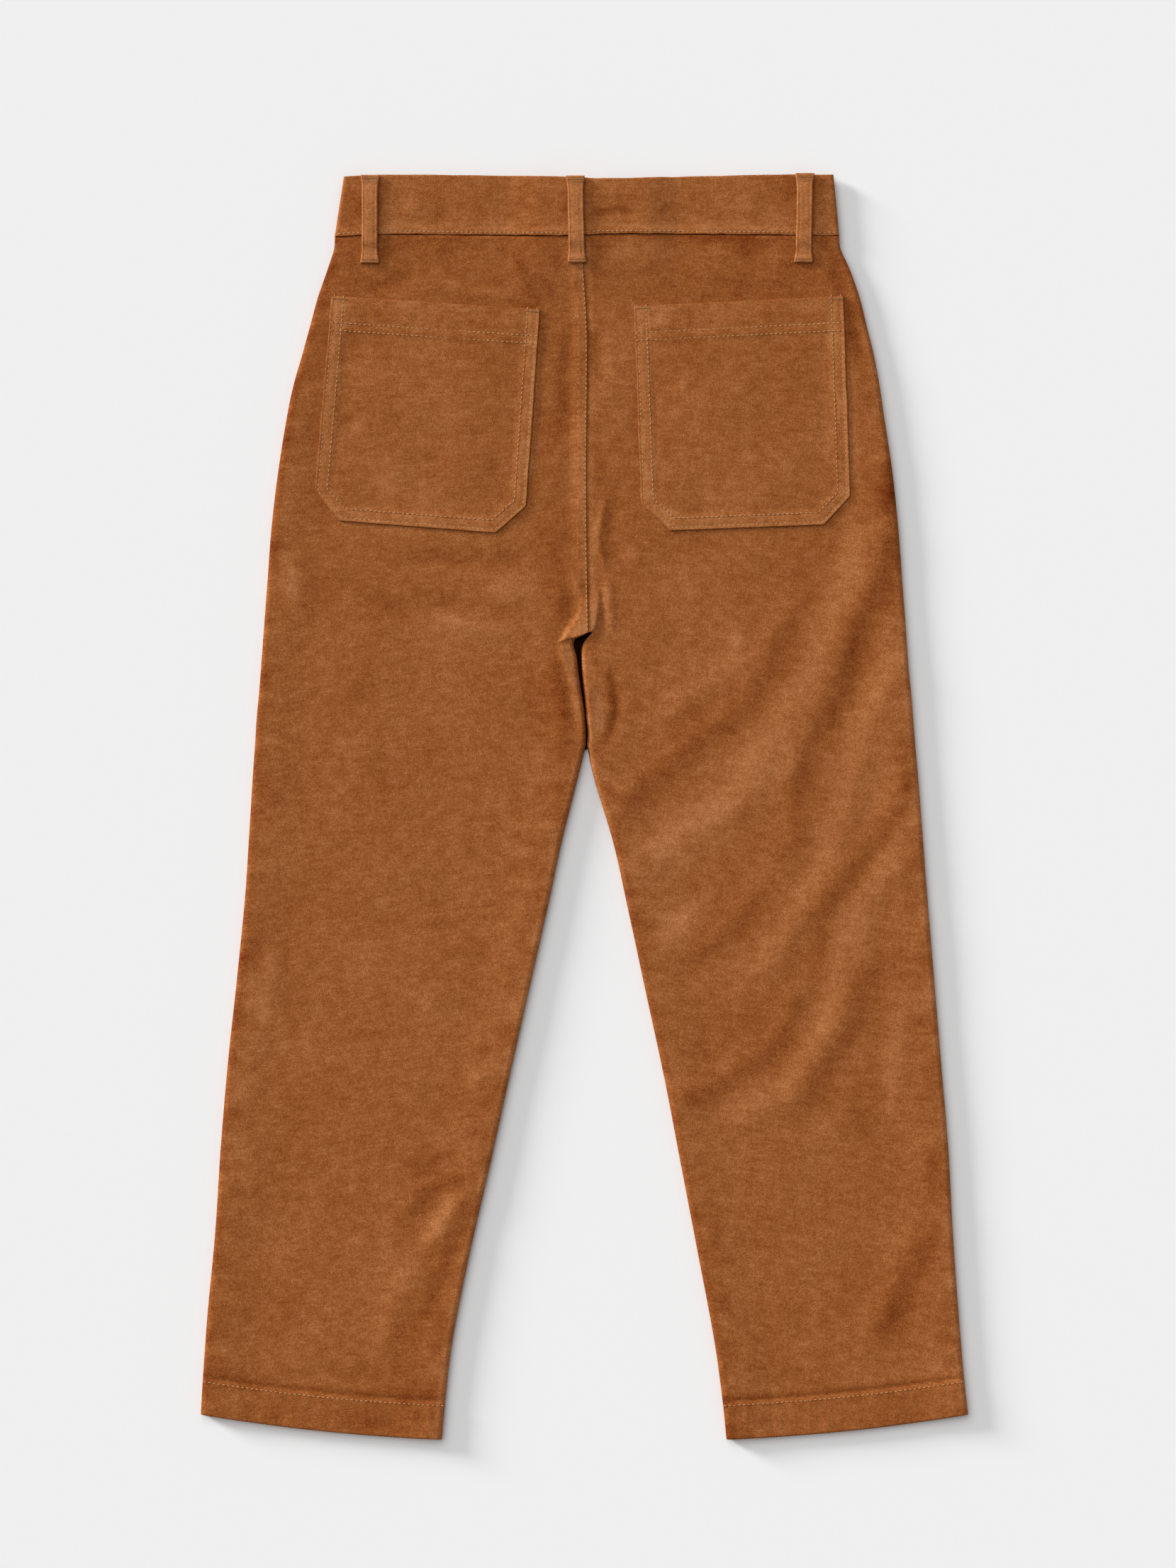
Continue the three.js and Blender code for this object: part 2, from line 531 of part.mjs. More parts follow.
// Columns of a band's row: a rolled end, even steps, and a rolled or plain end.
function bandRow(share, ends, z, outward, count) {
  const outerRow = [];
  const innerRow = [];
  const middle = (WAIST_LIFT + WAIST_TOP) / 2 + (outward * SEAM_GAP) / 2;
  const roll = (WAIST_TOP - WAIST_LIFT) / 2;
  const place = (x) => [x, lerp(bandBottom(x), bandTop(x), share)];
  const [from, to] = ends;
  const rolled = (end, sign) => (t) => {
    const angle = (t * Math.PI) / 2;
    const outerX = end + sign * roll * (1 - Math.cos(angle));
    const innerX = end + sign * (roll - (roll - BAND_CLOTH) * Math.cos(angle));
    const crown = z(end + sign * roll);
    outerRow.push([...place(outerX), lerp(middle, crown, Math.sin(angle))]);
    const low = crown - outward * BAND_CLOTH;
    const inside = outward > 0 ? Math.max(middle, low) : Math.min(middle, low);
    innerRow.push([...place(innerX), lerp(middle, inside, Math.sin(angle))]);
  };
  if (from.rolled) steps(0, 1, ROLL_STEPS).forEach(rolled(from.x, 1));
  const start = from.rolled ? from.x + roll : from.x;
  const stop = to.rolled ? to.x - roll : to.x;
  for (const x of steps(start, stop, count).slice(from.rolled ? 1 : 0, to.rolled ? -1 : undefined)) {
    outerRow.push([...place(x), z(x)]);
    innerRow.push([...place(x), z(x) - outward * BAND_CLOTH]);
  }
  if (to.rolled) steps(1, 0, ROLL_STEPS).forEach(rolled(to.x, -1));
  return [outerRow, innerRow];
}

function band(outward, endsAt, z) {
  const [left, right] = endsAt(0);
  const count = Math.round((right.x - left.x) / BAND_COLUMN);
  const rows = steps(1, 0, BAND_ROWS).map((share) => bandRow(share, endsAt(share), z, outward, count));
  const outer = rows.map((row) => row[0]);
  const inner = rows.map((row) => row[1]);
  return outward > 0 ? wall(outer, inner) : wall(inner, outer);
}

const backBandTop = (x) => WAIST_TOP + BAND_LIFT * hump(x);

function waistbandBack() {
  const ends = (share) => [
    { x: bandSide(-1, share), rolled: true },
    { x: bandSide(1, share), rolled: true },
  ];
  return band(1, ends, backBandTop);
}

function waistbandFrontLeft() {
  const ends = (share) => [
    { x: bandSide(-1, share), rolled: true },
    { x: BAND_LAP.end, rolled: false },
  ];
  return band(-1, ends, () => WAIST_LIFT);
}

function waistbandFrontRight() {
  const ends = (share) => [
    { x: BAND_LAP.underEnd, rolled: false },
    { x: bandSide(1, share), rolled: true },
  ];
  return band(-1, ends, (x) => WAIST_LIFT + BAND_LIFT * (1 - ease(BAND_LAP.rampFrom, BAND_LAP.rampTo, x)));
}

// A patch pocket: `a` runs across and `b` down, and the lower corners are cut off.
function patchPocket(side) {
  const outline = side < 0 ? POCKETS.left : POCKETS.right;
  const { topLeft, topRight, bottomLeft, bottomRight, cutLeft, cutRight } = outline;
  const height = topLeft[1] - bottomLeft[1];
  const width = topRight[0] - topLeft[0];
  const cut = Math.max(cutLeft, cutRight);
  const cutFrom = 1 - cut / height;
  const hem = POCKET.hemDepth / height;
  const hemEnd = hem + POCKET.hemRamp / height;
  const downs = [0, hem, hemEnd, ...steps(POCKET.bodyFrom, cutFrom, POCKET.bodyRows), (1 + cutFrom) / 2, 1];
  const corner = (a, b, axis) => {
    const top = lerp(topLeft[axis], topRight[axis], a);
    return lerp(top, lerp(bottomLeft[axis], bottomRight[axis], a), b);
  };
  const upper = [];
  const lower = [];
  for (const b of downs) {
    const past = clamp01((b - cutFrom) / (1 - cutFrom));
    const upperRow = [];
    const lowerRow = [];
    for (const a of steps((cutLeft * past) / width, 1 - (cutRight * past) / width, POCKET_COLUMNS)) {
      const x = corner(a, b, 0);
      const y = corner(a, b, 1);
      const outerEdge = column(SEAT, "y", side < 0 ? "left" : "right", y);
      const under = topAt(x, y, Math.abs(outerEdge - x) - ROLL) + POCKET.lift;
      const belly = POCKET.bellyRise * Math.sin(Math.PI * clamp01(a)) * Math.sin(Math.PI * clamp01(b));
      const doubled = POCKET.hemRise * (1 - ease(hem, hemEnd, b));
      lowerRow.push([x, y, under]);
      upperRow.push([x, y, under + POCKET.cloth + doubled + belly]);
    }
    upper.push(upperRow);
    lower.push(lowerRow);
  }
  return wall(upper, lower);
}

// A belt loop: a strip that is turned under and sewn down at each end and arches between them.
function beltLoop(ends, seatZ, outward, cloth) {
  const length = ends.top[1] - ends.bottom[1];
  const stations = [0, ...LOOP_STATIONS, length - LOOP.turned, length];
  const upper = [];
  const lower = [];
  for (const down of stations) {
    const t = down / length;
    const x = lerp(ends.top[0], ends.bottom[0], t);
    const y = lerp(ends.top[1], ends.bottom[1], t);
    const held = Math.min(down, length - down);
    const free = ease(0, LOOP.narrowed, held);
    const half = lerp(LOOP.width, LOOP.waist, free) / 2;
    const bow = outward > 0 ? LOOP_ARCH.rise * ease(LOOP.turned, LOOP_ARCH.to, held) : 0;
    const upperRow = [];
    const lowerRow = [];
    for (const across of steps(-1, 1, LOOP_COLUMNS)) {
      const crown = 1 - LOOP.rounded * across * across * free;
      const base = seatZ(x, y);
      lowerRow.push([x + across * half, y, outward > 0 ? base + bow : 0]);
      upperRow.push([x + across * half, y, outward > 0 ? base + bow + cloth * crown : cloth]);
    }
    upper.push(upperRow);
    lower.push(lowerRow);
  }
  return wall(upper, lower);
}

// What a back loop lies on: the band, and below its seam the seat.
function backLoopSeat(x, y) {
  const seat = topAt(x, y, SAG_REACH) + (x > LOOP_FELL.left && x < LOOP_FELL.right ? FELL_RISE : 0);
  const onBand = backBandTop(x);
  return Math.max(lerp(seat, onBand, ease(LOOP_STEP.from, LOOP_STEP.to, y)), seat) + LOOP.lift;
}

// A sew-through button: a disc with rounded edges and four holes for the thread.
function waistButton() {
  const { radius, height, bevel, hole, holeAt } = BUTTON;
  const disc = new THREE.Shape().absarc(0, 0, radius - bevel, 0, 2 * Math.PI);
  for (const [sx, sy] of [[-1, -1], [1, -1], [1, 1], [-1, 1]]) {
    disc.holes.push(new THREE.Path().absarc(sx * holeAt, sy * holeAt, hole + bevel, 0, 2 * Math.PI, true));
  }
  const geometry = new THREE.ExtrudeGeometry(disc, {
    depth: height - 2 * bevel,
    curveSegments: 8,
    bevelThickness: bevel,
    bevelSize: bevel,
    bevelSegments: 1,
  });
  geometry.translate(BUTTON.x, BUTTON.y, bevel);
  return geometry;
}

function piece(name, geometry, finish) {
  const mesh = new THREE.Mesh(geometry, new THREE.MeshStandardMaterial(finish));
  mesh.name = name;
  mesh.geometry.computeVertexNormals();
  return mesh;
}

function trousers() {
  const group = new THREE.Group();
  const cloth = (name, geometry) => group.add(piece(name, geometry, CLOTH_FINISH));
  cloth("back_panel_left", backPanel(-1));
  cloth("back_panel_right", backPanel(1));
  cloth("front_panel_left", frontPanel(-1));
  cloth("front_panel_right", frontPanel(1));
  cloth("waistband_back", waistbandBack());
  cloth("waistband_front_left", waistbandFrontLeft());
  cloth("waistband_front_right", waistbandFrontRight());
  cloth("patch_pocket_left", patchPocket(-1));
  cloth("patch_pocket_right", patchPocket(1));
  for (const [name, ends] of Object.entries(BACK_LOOPS)) {
    cloth(`belt_loop_back_${name}`, beltLoop(ends, backLoopSeat, 1, LOOP.cloth));
  }
  for (const [name, ends] of Object.entries(FRONT_LOOPS)) {
    cloth(`belt_loop_front_${name}`, beltLoop(ends, () => 0, -1, FRONT_LOOP_CLOTH));
  }
  group.add(piece("waist_button", waistButton(), BUTTON_FINISH));
  return group;
}

export default trousers();
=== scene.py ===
"""Corduroy trousers laid flat, back up: needlecord shells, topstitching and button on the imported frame."""

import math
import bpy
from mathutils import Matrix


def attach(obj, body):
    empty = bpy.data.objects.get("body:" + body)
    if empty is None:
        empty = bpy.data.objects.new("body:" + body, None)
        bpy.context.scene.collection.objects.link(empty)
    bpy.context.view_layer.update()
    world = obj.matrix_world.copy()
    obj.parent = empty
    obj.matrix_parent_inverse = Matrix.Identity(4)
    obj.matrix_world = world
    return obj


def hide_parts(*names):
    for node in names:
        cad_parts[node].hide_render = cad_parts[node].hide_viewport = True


bl_info = {
    "name": "Corduroy trousers",
    "version": (1, 0, 0),
    "blender": (4, 5, 0),
    "location": "3D View > Sidebar > Trousers",
    "description": "Lays out corduroy trousers, back up, with their seams, pockets, loops and stitching",
    "category": "Add Mesh",
}

import bpy
import numpy as np

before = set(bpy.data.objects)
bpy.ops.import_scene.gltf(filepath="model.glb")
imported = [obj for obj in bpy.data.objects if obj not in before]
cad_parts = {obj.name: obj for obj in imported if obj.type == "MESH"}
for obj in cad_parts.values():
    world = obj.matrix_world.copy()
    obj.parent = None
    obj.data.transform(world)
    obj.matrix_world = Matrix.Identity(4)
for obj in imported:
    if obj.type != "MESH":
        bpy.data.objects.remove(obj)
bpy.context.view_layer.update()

# Lengths are in millimetres up to the meshes, which are in metres.
MM = 0.001

# Cloth and seams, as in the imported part
CLOTH = 1.3
HEM_CLOTH = 2.4
BAND_CLOTH = 1.8
BAND_DEPTH = 36.0
SEAM_GAP = 0.3
SIDE_TOP = 6.4
SIDE_SAG = 1.1
SAG_REACH = 32.0
# Stands for the way in from a folded edge where there is none, and is past the reach of the sag
FAR_IN = 60.0
ROLL = SIDE_TOP / 2
WAIST_LIFT = 2.0
WAIST_TOP = 6.0
FRONT_LIFT = (285.0, 325.0)
WAIST_RISE = (250.0, 347.0)
FELL_WIDTH = 6.5
FELL_RISE = 0.5
# Its rows of stitching: how far each is from the seam, and how high on the cloth; and their two ends
FELL_ROWS = ((1.0, 0.12), (6.0, -0.22))
FELL_ROWS_SPAN = (328.0, 107.0)
SEAT_TOP = 347.0
CROTCH_Y = 104.8
FRONT_SEAM_X = 1.5
FRONT_SEAM_GAP = 0.04
FRONT_CROTCH_Y = 37.0
FLY_LAP = 9.2
FLY_UNDERLAP = 15.4
FLY_OPEN = (232.0, 250.0)
FLY_LIFT = CLOTH + 0.4
BAND_LAP_END = 14.5
BAND_UNDER_END = -20.0
BAND_LIFT = BAND_CLOTH + SEAM_GAP
HUMP = {"low": -26.0, "high": 36.0, "ramp": 22.0}

# Steps between the rows and the columns of the grids, and how far the fine columns reach from a seam
SEAT_STEP = 2.0
LEG_STEP = 2.6
FINE_STEP = 0.5
HEM_STEP = 1.6
ACROSS_STEP = 2.3
FINE_ACROSS = 0.65
FINE_REACH = 20.0
FRONT_FINE = 12.0
# Usual width of a leg, from which its columns are counted, and how many of them roll round each edge
LEG_WIDTH = 170.0
ROLL_UP = 7
ROLL_OVER = 8
BAND_ROLL_UP = 6
# Below the crotch the fine columns spread wider at first, down to here, so that they stay in line with the
# seat's. The first row of the legs is this far under the crotch.
WIDER_FROM = 60.0
CROTCH_STEP = 0.9


def table(columns, *rows):
    """Rows of numbers as one array for each named column, ordered by the first column."""
    values = np.array(sorted(rows), dtype=float)
    return {name: values[:, i] for i, name in enumerate(columns.split())}


# Across the seat: left edge, seat seam and right edge
SEAT = table(
    "y left seam right",
    (347.0, -151.5, -0.9, 154.5),
    (339.0, -151.9, -0.7, 155.3),
    (326.0, -155.9, -0.2, 161.0),
    (309.0, -161.8, 1.0, 167.0),
    (291.5, -166.6, 1.9, 171.4),
    (274.0, -171.4, 2.1, 175.7),
    (257.0, -176.3, 2.0, 178.9),
    (240.0, -180.0, 1.8, 181.4),
    (205.5, -185.6, 1.5, 186.6),
    (171.0, -189.8, 1.7, 190.3),
    (137.0, -192.4, 2.2, 192.9),
    (CROTCH_Y, -194.8, 2.8, 195.3),
)

# Across both legs. y is at the outer edges, drop is how much lower the inner edges are, bow how far
# the middle of a section hangs below its chord, and rollL and rollR the widths of the inner edges' roll.
LEGS = table(
    "y drop bow outerL innerL innerR outerR rollL rollR",
    (103.9, 0.0, 0.0, -194.9, -5.4, 4.2, 195.4, 2.6, 2.6),
    (101.5, 0.1, 0.0, -195.1, -6.4, 0.8, 195.5, 2.6, 2.6),
    (98.0, 0.2, 0.0, -195.3, -6.2, -1.4, 195.8, 2.6, 2.6),
    (91.5, 0.4, 0.0, -195.8, -4.7, -1.9, 196.2, 2.6, 2.6),
    (79.5, 0.8, 0.0, -196.7, -3.1, -1.3, 197.2, 2.6, 2.6),
    (68.0, 1.2, 0.1, -197.6, -1.3, 0.0, 198.4, 2.6, 2.6),
    (57.0, 1.6, 0.1, -198.7, 0.4, 0.9, 199.3, 2.6, 2.6),
    (46.0, 2.0, 0.1, -199.5, 1.0, 2.0, 200.1, 2.7, 2.7),
    (39.0, 2.2, 0.2, -199.9, 0.8, 1.6, 200.7, 2.8, 2.8),
    (36.0, 2.3, 0.2, -200.1, -0.2, 2.4, 200.9, 2.9, 2.9),
    (30.0, 2.5, 0.2, -200.5, -1.6, 3.3, 201.4, 3.0, 3.0),
    (16.0, 3.0, 0.2, -201.5, -5.2, 7.0, 202.7, 3.2, 3.2),
    (-18.0, 4.1, 0.4, -203.6, -14.0, 17.6, 205.3, 3.2, 3.2),
    (-52.0, 5.3, 0.6, -205.8, -21.5, 25.4, 207.9, 3.2, 3.2),
    (-104.0, 7.0, 0.9, -210.9, -33.6, 36.9, 212.2, 3.2, 3.2),
    (-156.0, 8.8, 1.2, -216.5, -45.7, 48.5, 216.5, 3.2, 3.2),
    (-207.0, 10.5, 1.5, -220.8, -57.3, 58.6, 220.8, 3.2, 3.2),
    (-259.0, 12.3, 1.8, -224.2, -69.7, 68.9, 223.6, 3.2, 3.2),
    (-310.0, 14.0, 2.1, -229.0, -80.1, 78.8, 227.3, 3.2, 3.2),
    (-346.5, 14.6, 2.3, -231.6, -84.6, 83.9, 230.4, 3.2, 3.2),
    (-368.8, 15.2, 2.5, -232.9, -86.6, 86.2, 232.9, 3.2, 3.2),
)
HEM_LINE = -346.8
HEM_END = -368.8
HEM_GROOVE = HEM_LINE + 1.0
HEM_STITCHES = HEM_GROOVE - 2.7

# The waistband's lower and upper edges
BAND = table(
    "x bottom top",
    (-151.6, 345.6, 382.0),
    (-120.0, 347.2, 383.4),
    (-60.0, 346.6, 382.8),
    (-4.0, 346.2, 381.8),
    (10.0, 347.1, 381.0),
    (70.0, 347.2, 382.4),
    (130.0, 346.6, 383.6),
    (154.6, 346.4, 383.3),
)
BAND_SIDE_TOP = (-146.0, 151.1)
BAND_ROW_ENDS = (-148.5, 151.5)

# Creases of the back, one row each: how much lighter its flank is painted, in grey levels, as painted light,
# and darker below 0, as painted shade; how high the cloth rises past that flank; its half width; and the line
# of the flank. A trough has a rise below 0.
FOLDS = (
    # painted light and shade over broad regions
    (6, 0, 11, ((18, 325), (18, 215))),
    (5, 0, 7, ((8, 338), (58, 338))),
    (-9, 0, 9, ((-16, 176), (-17, 112))),
    (-7, 0, 10, ((66, 316), (134, 318))),
    (-6, 0, 14, ((125, 262), (125, 228))),
    (5, 0, 8, ((-172, 245), (-179, 150))),
    (-9, 0, 12, ((-24, 88), (-22, 30))),
    (7, 0, 9, ((-98, 112), (-52, 106))),
    (5, 0, 9, ((-58, 131), (-24, 134))),
    (-8, 0, 18, ((122, 152), (150, 122))),
    (-3, 0, 9, ((130, 82), (100, 58), (82, 46))),
    (-10, 0, 6, ((74, 42), (50, 38))),
    (6, 0, 6, ((64, -20), (104, -20))),
    (6, 0, 6, ((27, -24), (29, -46))),
    (-7, 0, 6, ((145, -66), (145, -126))),
    (8, 0, 5, ((56, -68), (74, -52))),
    (7, 0, 4, ((26, 12), (34, 14))),
    (-8, 0, 5, ((116, 76), (132, 92))),
    (-7, 0, 6, ((52, 44), (76, 62))),
    (6, 0, 5, ((120, 12), (140, 40))),
    (-7, 0, 5, ((60, -158), (84, -148))),
    (7, 0, 6, ((168, 120), (176, 100))),
    (8, 0, 5, ((66, -250), (74, -236))),
    (-7, 0, 6, ((90, 14), (104, -10))),
    (7, 0, 5, ((172, -60), (166, -100))),
    (6, 0, 6, ((212, -330), (216, -350))),
    (7, 0, 9, ((150, 58), (110, 20), (66, -20))),
    (11, 0.1, 10, ((38, -22), (70, -36))),
    (11, 0.1, 12, ((48, -58), (62, -88))),
    (9, 0, 9, ((182, 33), (170, -10))),
    (-6, 0, 20, ((98, -42), (124, -84))),
    (-6, 0, 14, ((88, -138), (132, -150))),
    (5, 0, 16, ((58, 100), (58, 72))),
    (5, 0, 16, ((135, -178), (145, -212))),
    (-9, 0, 8, ((214, -245), (206, -285))),
    (-6, 0, 10, ((200, -298), (180, -322))),
    (12, 0, 8, ((-200, -125), (-190, -125))),
    (-11, 0, 6, ((-220, -242), (-220, -258))),
    (-7, 0, 9, ((-98, -213), (-84, -232))),
    (7, 0, 7, ((-92, -248), (-84, -264))),
    (-9, 0, 6, ((-88, -296), (-88, -324))),
    (-10, 0, 5, ((-104, -250), (-88, -238))),
    (9, 0, 5, ((-178, 150), (-176, 118))),
    (7, 0, 7, ((-50, 110), (-50, 92))),
    (-8, 0, 8, ((-30, -62), (-44, -84))),
    (7, 0, 7, ((-200, -100), (-204, -140))),
    (6, 0, 8, ((-205, -205), (-205, -235))),
    (-7, 0, 6, ((-150, -368), (-120, -371))),
    (8, 0, 5, ((-232, -343), (-222, -352))),
    (6, 0, 4, ((-176, 240), (-174, 222))),
    (5, 0, 6, ((-224, -358), (-206, -358))),
    (-9, 0, 8, ((145, 160), (160, 160))),
    (-8, 0, 9, ((-100, -203), (-98, -226))),
    (-9, 0, 9, ((-106, -305), (-106, -372))),
    # long slanting folds of the right thigh: lit flanks
    (9, 0.7, 11, ((165, 178), (158, 140), (150, 120), (140, 90), (115, 50), (98, 25), (90, 5),
        (55, -13), (30, -33))),
    (8, 0.6, 9, ((195, 100), (170, 60), (163, 30), (158, 10), (147, -30), (130, -58), (118, -77),
        (98, -105))),
    (8, 0.6, 9, ((195, -30), (180, -35), (165, -60), (150, -100), (148, -125), (130, -155),
        (118, -172), (80, -190))),
    (6, 0.25, 5, ((190, -120), (187, -150), (184, -190))),
    (7, 0.4, 7, ((90, 116), (91, 92), (78, 78), (60, 70), (40, 55))),
    (5, 0.2, 6, ((30, 160), (24, 148))),
    (8, 0.4, 7, ((66, -64), (50, -80), (44, -92))),
    (6, 0.2, 5, ((25, 16), (20, 7))),
    (6, 0.2, 5, ((25, -11), (20, -20))),
    # the flanks of those folds in shade
    (-14, 0.8, 8, ((188, 175), (184, 150), (178, 130), (165, 100), (154, 65), (138, 40),
        (130, 15), (128, 0))),
    (-6, 0.3, 8, ((128, 0), (132, -18), (124, -36))),
    (-8, 0.5, 8, ((133, 124), (118, 98), (110, 80), (100, 62), (85, 48), (62, 30), (42, 14), (22, -5))),
    (-5, 0, 8, ((64, 57), (72, 52))),
    (-5, 0, 8, ((86, 49), (94, 43))),
    (-9, 0.5, 6, ((199, 25), (195, 5), (188, -5), (170, -32), (150, -58), (143, -68))),
    (-5, 0.2, 6, ((100, -20), (118, -28), (128, -22))),
    (-8, 0.4, 6, ((108, -50), (100, -64), (88, -78), (74, -88), (58, -97))),
    (-8, 0.2, 6, ((204, -28), (195, -42))),
    (-8, 0.3, 6, ((200, -55), (198, -68))),
    (-8, 0.6, 8, ((180, -85), (170, -112), (164, -132), (152, -150), (143, -166), (128, -190))),
    (-9, 0.5, 7, ((137, -110), (128, -125), (124, -140), (108, -155), (90, -166), (72, -176), (54, -180))),
    (-5, 0.2, 7, ((173, -174), (166, -190), (150, -203))),
    # right shin and its edges
    (-12, 0.7, 8, ((213, -262), (204, -268), (197, -284), (190, -300), (183, -314), (177, -328))),
    (-8, 0.2, 6, ((213, -200), (210, -215), (209, -235))),
    (-5, 0, 7, ((212, -158), (212, -172))),
    (-4, 0, 7, ((204, -138), (204, -152))),
    (-5, 0.1, 6, ((152, -320), (149, -336))),
    (-7, 0.1, 6, ((118, -341), (136, -342))),
    (-4, 0, 6, ((108, -318), (108, -332))),
    (-7, 0.2, 5, ((80, -294), (88, -308))),
    (-6, 0.2, 4, ((78, -256), (79, -267))),
    (-5, 0.1, 5, ((78, -274), (88, -277))),
    (-5, 0.2, 5, ((54, -179), (66, -176))),
    (-4, 0.1, 5, ((38, 106), (56, 108))),
    (-6, 0.3, 5, ((34, 92), (50, 87))),
    # left thigh
    (-8, -0.5, 6, ((-110, 153), (-80, 151), (-55, 149), (-35, 154))),
    (-5, -0.2, 6, ((-166, 145), (-160, 130), (-157, 120))),
    (-5, -0.2, 5, ((-154, 136), (-138, 138))),
    (-9, -0.4, 5, ((-136, 131), (-122, 125), (-110, 118), (-102, 114))),
    (-6, 0.3, 5, ((-110, 135), (-98, 131), (-85, 127), (-74, 126))),
    (-5, -0.2, 6, ((-60, 120), (-44, 118))),
    (-4, 0.1, 6, ((-198, 10), (-180, 4))),
    (-7, 0.2, 6, ((-198, -68), (-201, -92))),
    (-4, -0.2, 7, ((-142, 75), (-135, 60))),
    (-3, -0.1, 8, ((-122, 35), (-125, 15))),
    (-6, 0.3, 4, ((-52, -34), (-35, -37), (-22, -41))),
    (-5, 0.2, 4, ((-32, -22), (-18, -22))),
    (-4, 0.1, 6, ((-96, -72), (-78, -70))),
    (-5, 0.2, 6, ((-90, -85), (-70, -88), (-54, -85))),
    (-5, 0.2, 6, ((-46, -100), (-42, -112))),
    (6, 0.3, 6, ((-62, 130), (-45, 133), (-25, 125))),
    (8, 0.5, 5, ((-97, 118), (-80, 112), (-60, 108), (-45, 106))),
    (6, 0.3, 6, ((-178, 152), (-178, 130), (-175, 120))),
    (4, 0.2, 7, ((-148, 45), (-140, 30))),
    (8, 0.35, 3.5, ((-48, -10), (-33, -13), (-14, -11))),
    (7, 0.3, 3, ((-55, -20), (-42, -26), (-33, -28))),
    (7, 0.3, 6, ((-190, -85), (-192, -105), (-192, -128))),
    (5, 0.2, 6, ((-200, -158), (-201, -172))),
    (4, 0.1, 6, ((-137, -83), (-128, -94))),
    (4, 0.2, 8, ((-76, -47), (-64, -53))),
    (4, 0.2, 8, ((-100, -110), (-90, -120))),
    (4, 0.2, 7, ((-46, -62), (-34, -68))),
    # left shin
    (-7, 0.2, 3, ((-62, -198), (-76, -197))),
    (-7, 0.2, 3.5, ((-56, -213), (-65, -213))),
    (-6, 0.25, 4, ((-78, -207), (-94, -214))),
    (-10, 0.5, 4.5, ((-68, -226), (-84, -228), (-95, -233), (-108, -248))),
    (-9, -0.5, 6, ((-66, -241), (-72, -252), (-80, -262), (-84, -278), (-90, -292), (-97, -305),
        (-102, -316))),
    (-8, 0, 5, ((-83, -304), (-93, -310))),
    (-7, 0, 5, ((-85, -320), (-96, -323))),
    (-5, 0, 5, ((-96, -344), (-87, -351))),
    (-5, 0.2, 6, ((-120, -250), (-105, -262))),
    (-4, 0.1, 7, ((-157, -238), (-143, -238))),
    (-6, 0.2, 6, ((-212, -226), (-212, -242))),
    (-5, 0.2, 6, ((-218, -257), (-202, -260))),
    (-8, 0.3, 6, ((-215, -309), (-226, -320))),
    (-6, 0.2, 5, ((-54, -145), (-66, -148))),
    (-3, 0, 8, ((-175, -178), (-175, -192))),
    (-3, 0, 8, ((-107, -178), (-107, -192))),
    (-3, 0, 8, ((-148, -128), (-148, -142))),
    (-5, -0.2, 6, ((-230, -340), (-200, -348), (-150, -343), (-120, -346))),
    (-12, -0.2, 4, ((-104, -356), (-86, -358))),
    (-8, 0, 5, ((-152, -371), (-120, -378))),
    (10, 0.6, 5, ((-74, -232), (-84, -244), (-92, -258), (-102, -268))),
    (6, 0.5, 8, ((-102, -268), (-112, -285), (-125, -315), (-131, -332))),
    (8, 0.3, 5, ((-74, -168), (-66, -164), (-58, -165))),
    (3, 0.1, 8, ((-150, -265), (-130, -265))),
    (3, 0.1, 8, ((-152, -152), (-126, -150))),
    (5, 0.2, 5, ((-68, -232), (-58, -232))),
    # beside the gap at the crotch
    (-9, 0.5, 6, ((-20, 95), (-17, 78), (-12, 65), (-10, 52), (-10, 30))),
    (0, 0.55, 2.5, ((-14.8, 98.6), (-11.8, 87.5), (-7.1, 77.5), (-4.3, 67.4), (-1.7, 51.2), (-0.3, 39))),
    (8, 0, 2.8, ((-13.5, 97), (-10.5, 87), (-7.5, 76), (-5.5, 64), (-3.8, 50))),
    (-9, 0, 3.6, ((-17, 92), (-14.5, 78), (-13, 64), (-11.5, 48))),
    (6, 0, 3.4, ((9, 76), (10.5, 62), (8, 46))),
    (-9, -0.3, 3, ((14, 86), (18.5, 70), (18.5, 60), (15, 46), (9, 36))),
    (-12, 0, 4, ((-9, 124), (-13, 116), (-19, 106))),
    (-14, 0, 4, ((-1, 138), (1, 126))),
    (-13, 0, 3.5, ((4, 90), (9, 86))),
    (-8, 0, 3.4, ((12, 82), (16, 70), (19, 58), (16, 42))),
    (14, 0, 3, ((3, 76), (6.5, 62), (7, 48))),
    (-8, 0, 4, ((-14, 44), (-15, 22))),
    (-4, 0, 3, ((-8, 80), (-4, 60))),
    (7, 0, 4, ((12, 132), (12, 112))),
    (-8, 0.3, 5, ((-13, 132), (-10, 122))),
    (-6, 0.2, 5, ((-12, 15), (-15, 5), (-12, -4))),
    (-2, 0.9, 4, ((3, 77), (5, 64), (6.5, 54), (5, 44))),
    (-6, -0.3, 4, ((15, 82), (18, 62), (14, 42))),
    (7, 0.5, 3, ((12.4, 142), (13.5, 125), (15, 108))),
    (5, 0.4, 2.4, ((-12.8, 149), (-6.7, 140), (-4.5, 130))),
    # beside the seat seam
    (-12, -0.3, 5, ((13, 164), (13, 145))),
    (-9, -0.3, 4, ((5, 292), (5, 275), (6, 262))),
    (5, 0.2, 5, ((14, 286), (16, 270), (12, 255), (7, 244))),
    (5, 0.1, 5, ((25, 282), (25, 268))),
    (8, 0.3, 6, ((-3, 242), (-4, 225), (-3, 200), (-2, 178))),
    (-9, -0.3, 4, ((-10, 290), (-12, 275), (-14, 262), (-12, 244), (-15, 225))),
    (-2, -0.1, 3, ((-24, 290), (-27, 262), (-28, 232), (-30, 207), (-33, 190))),
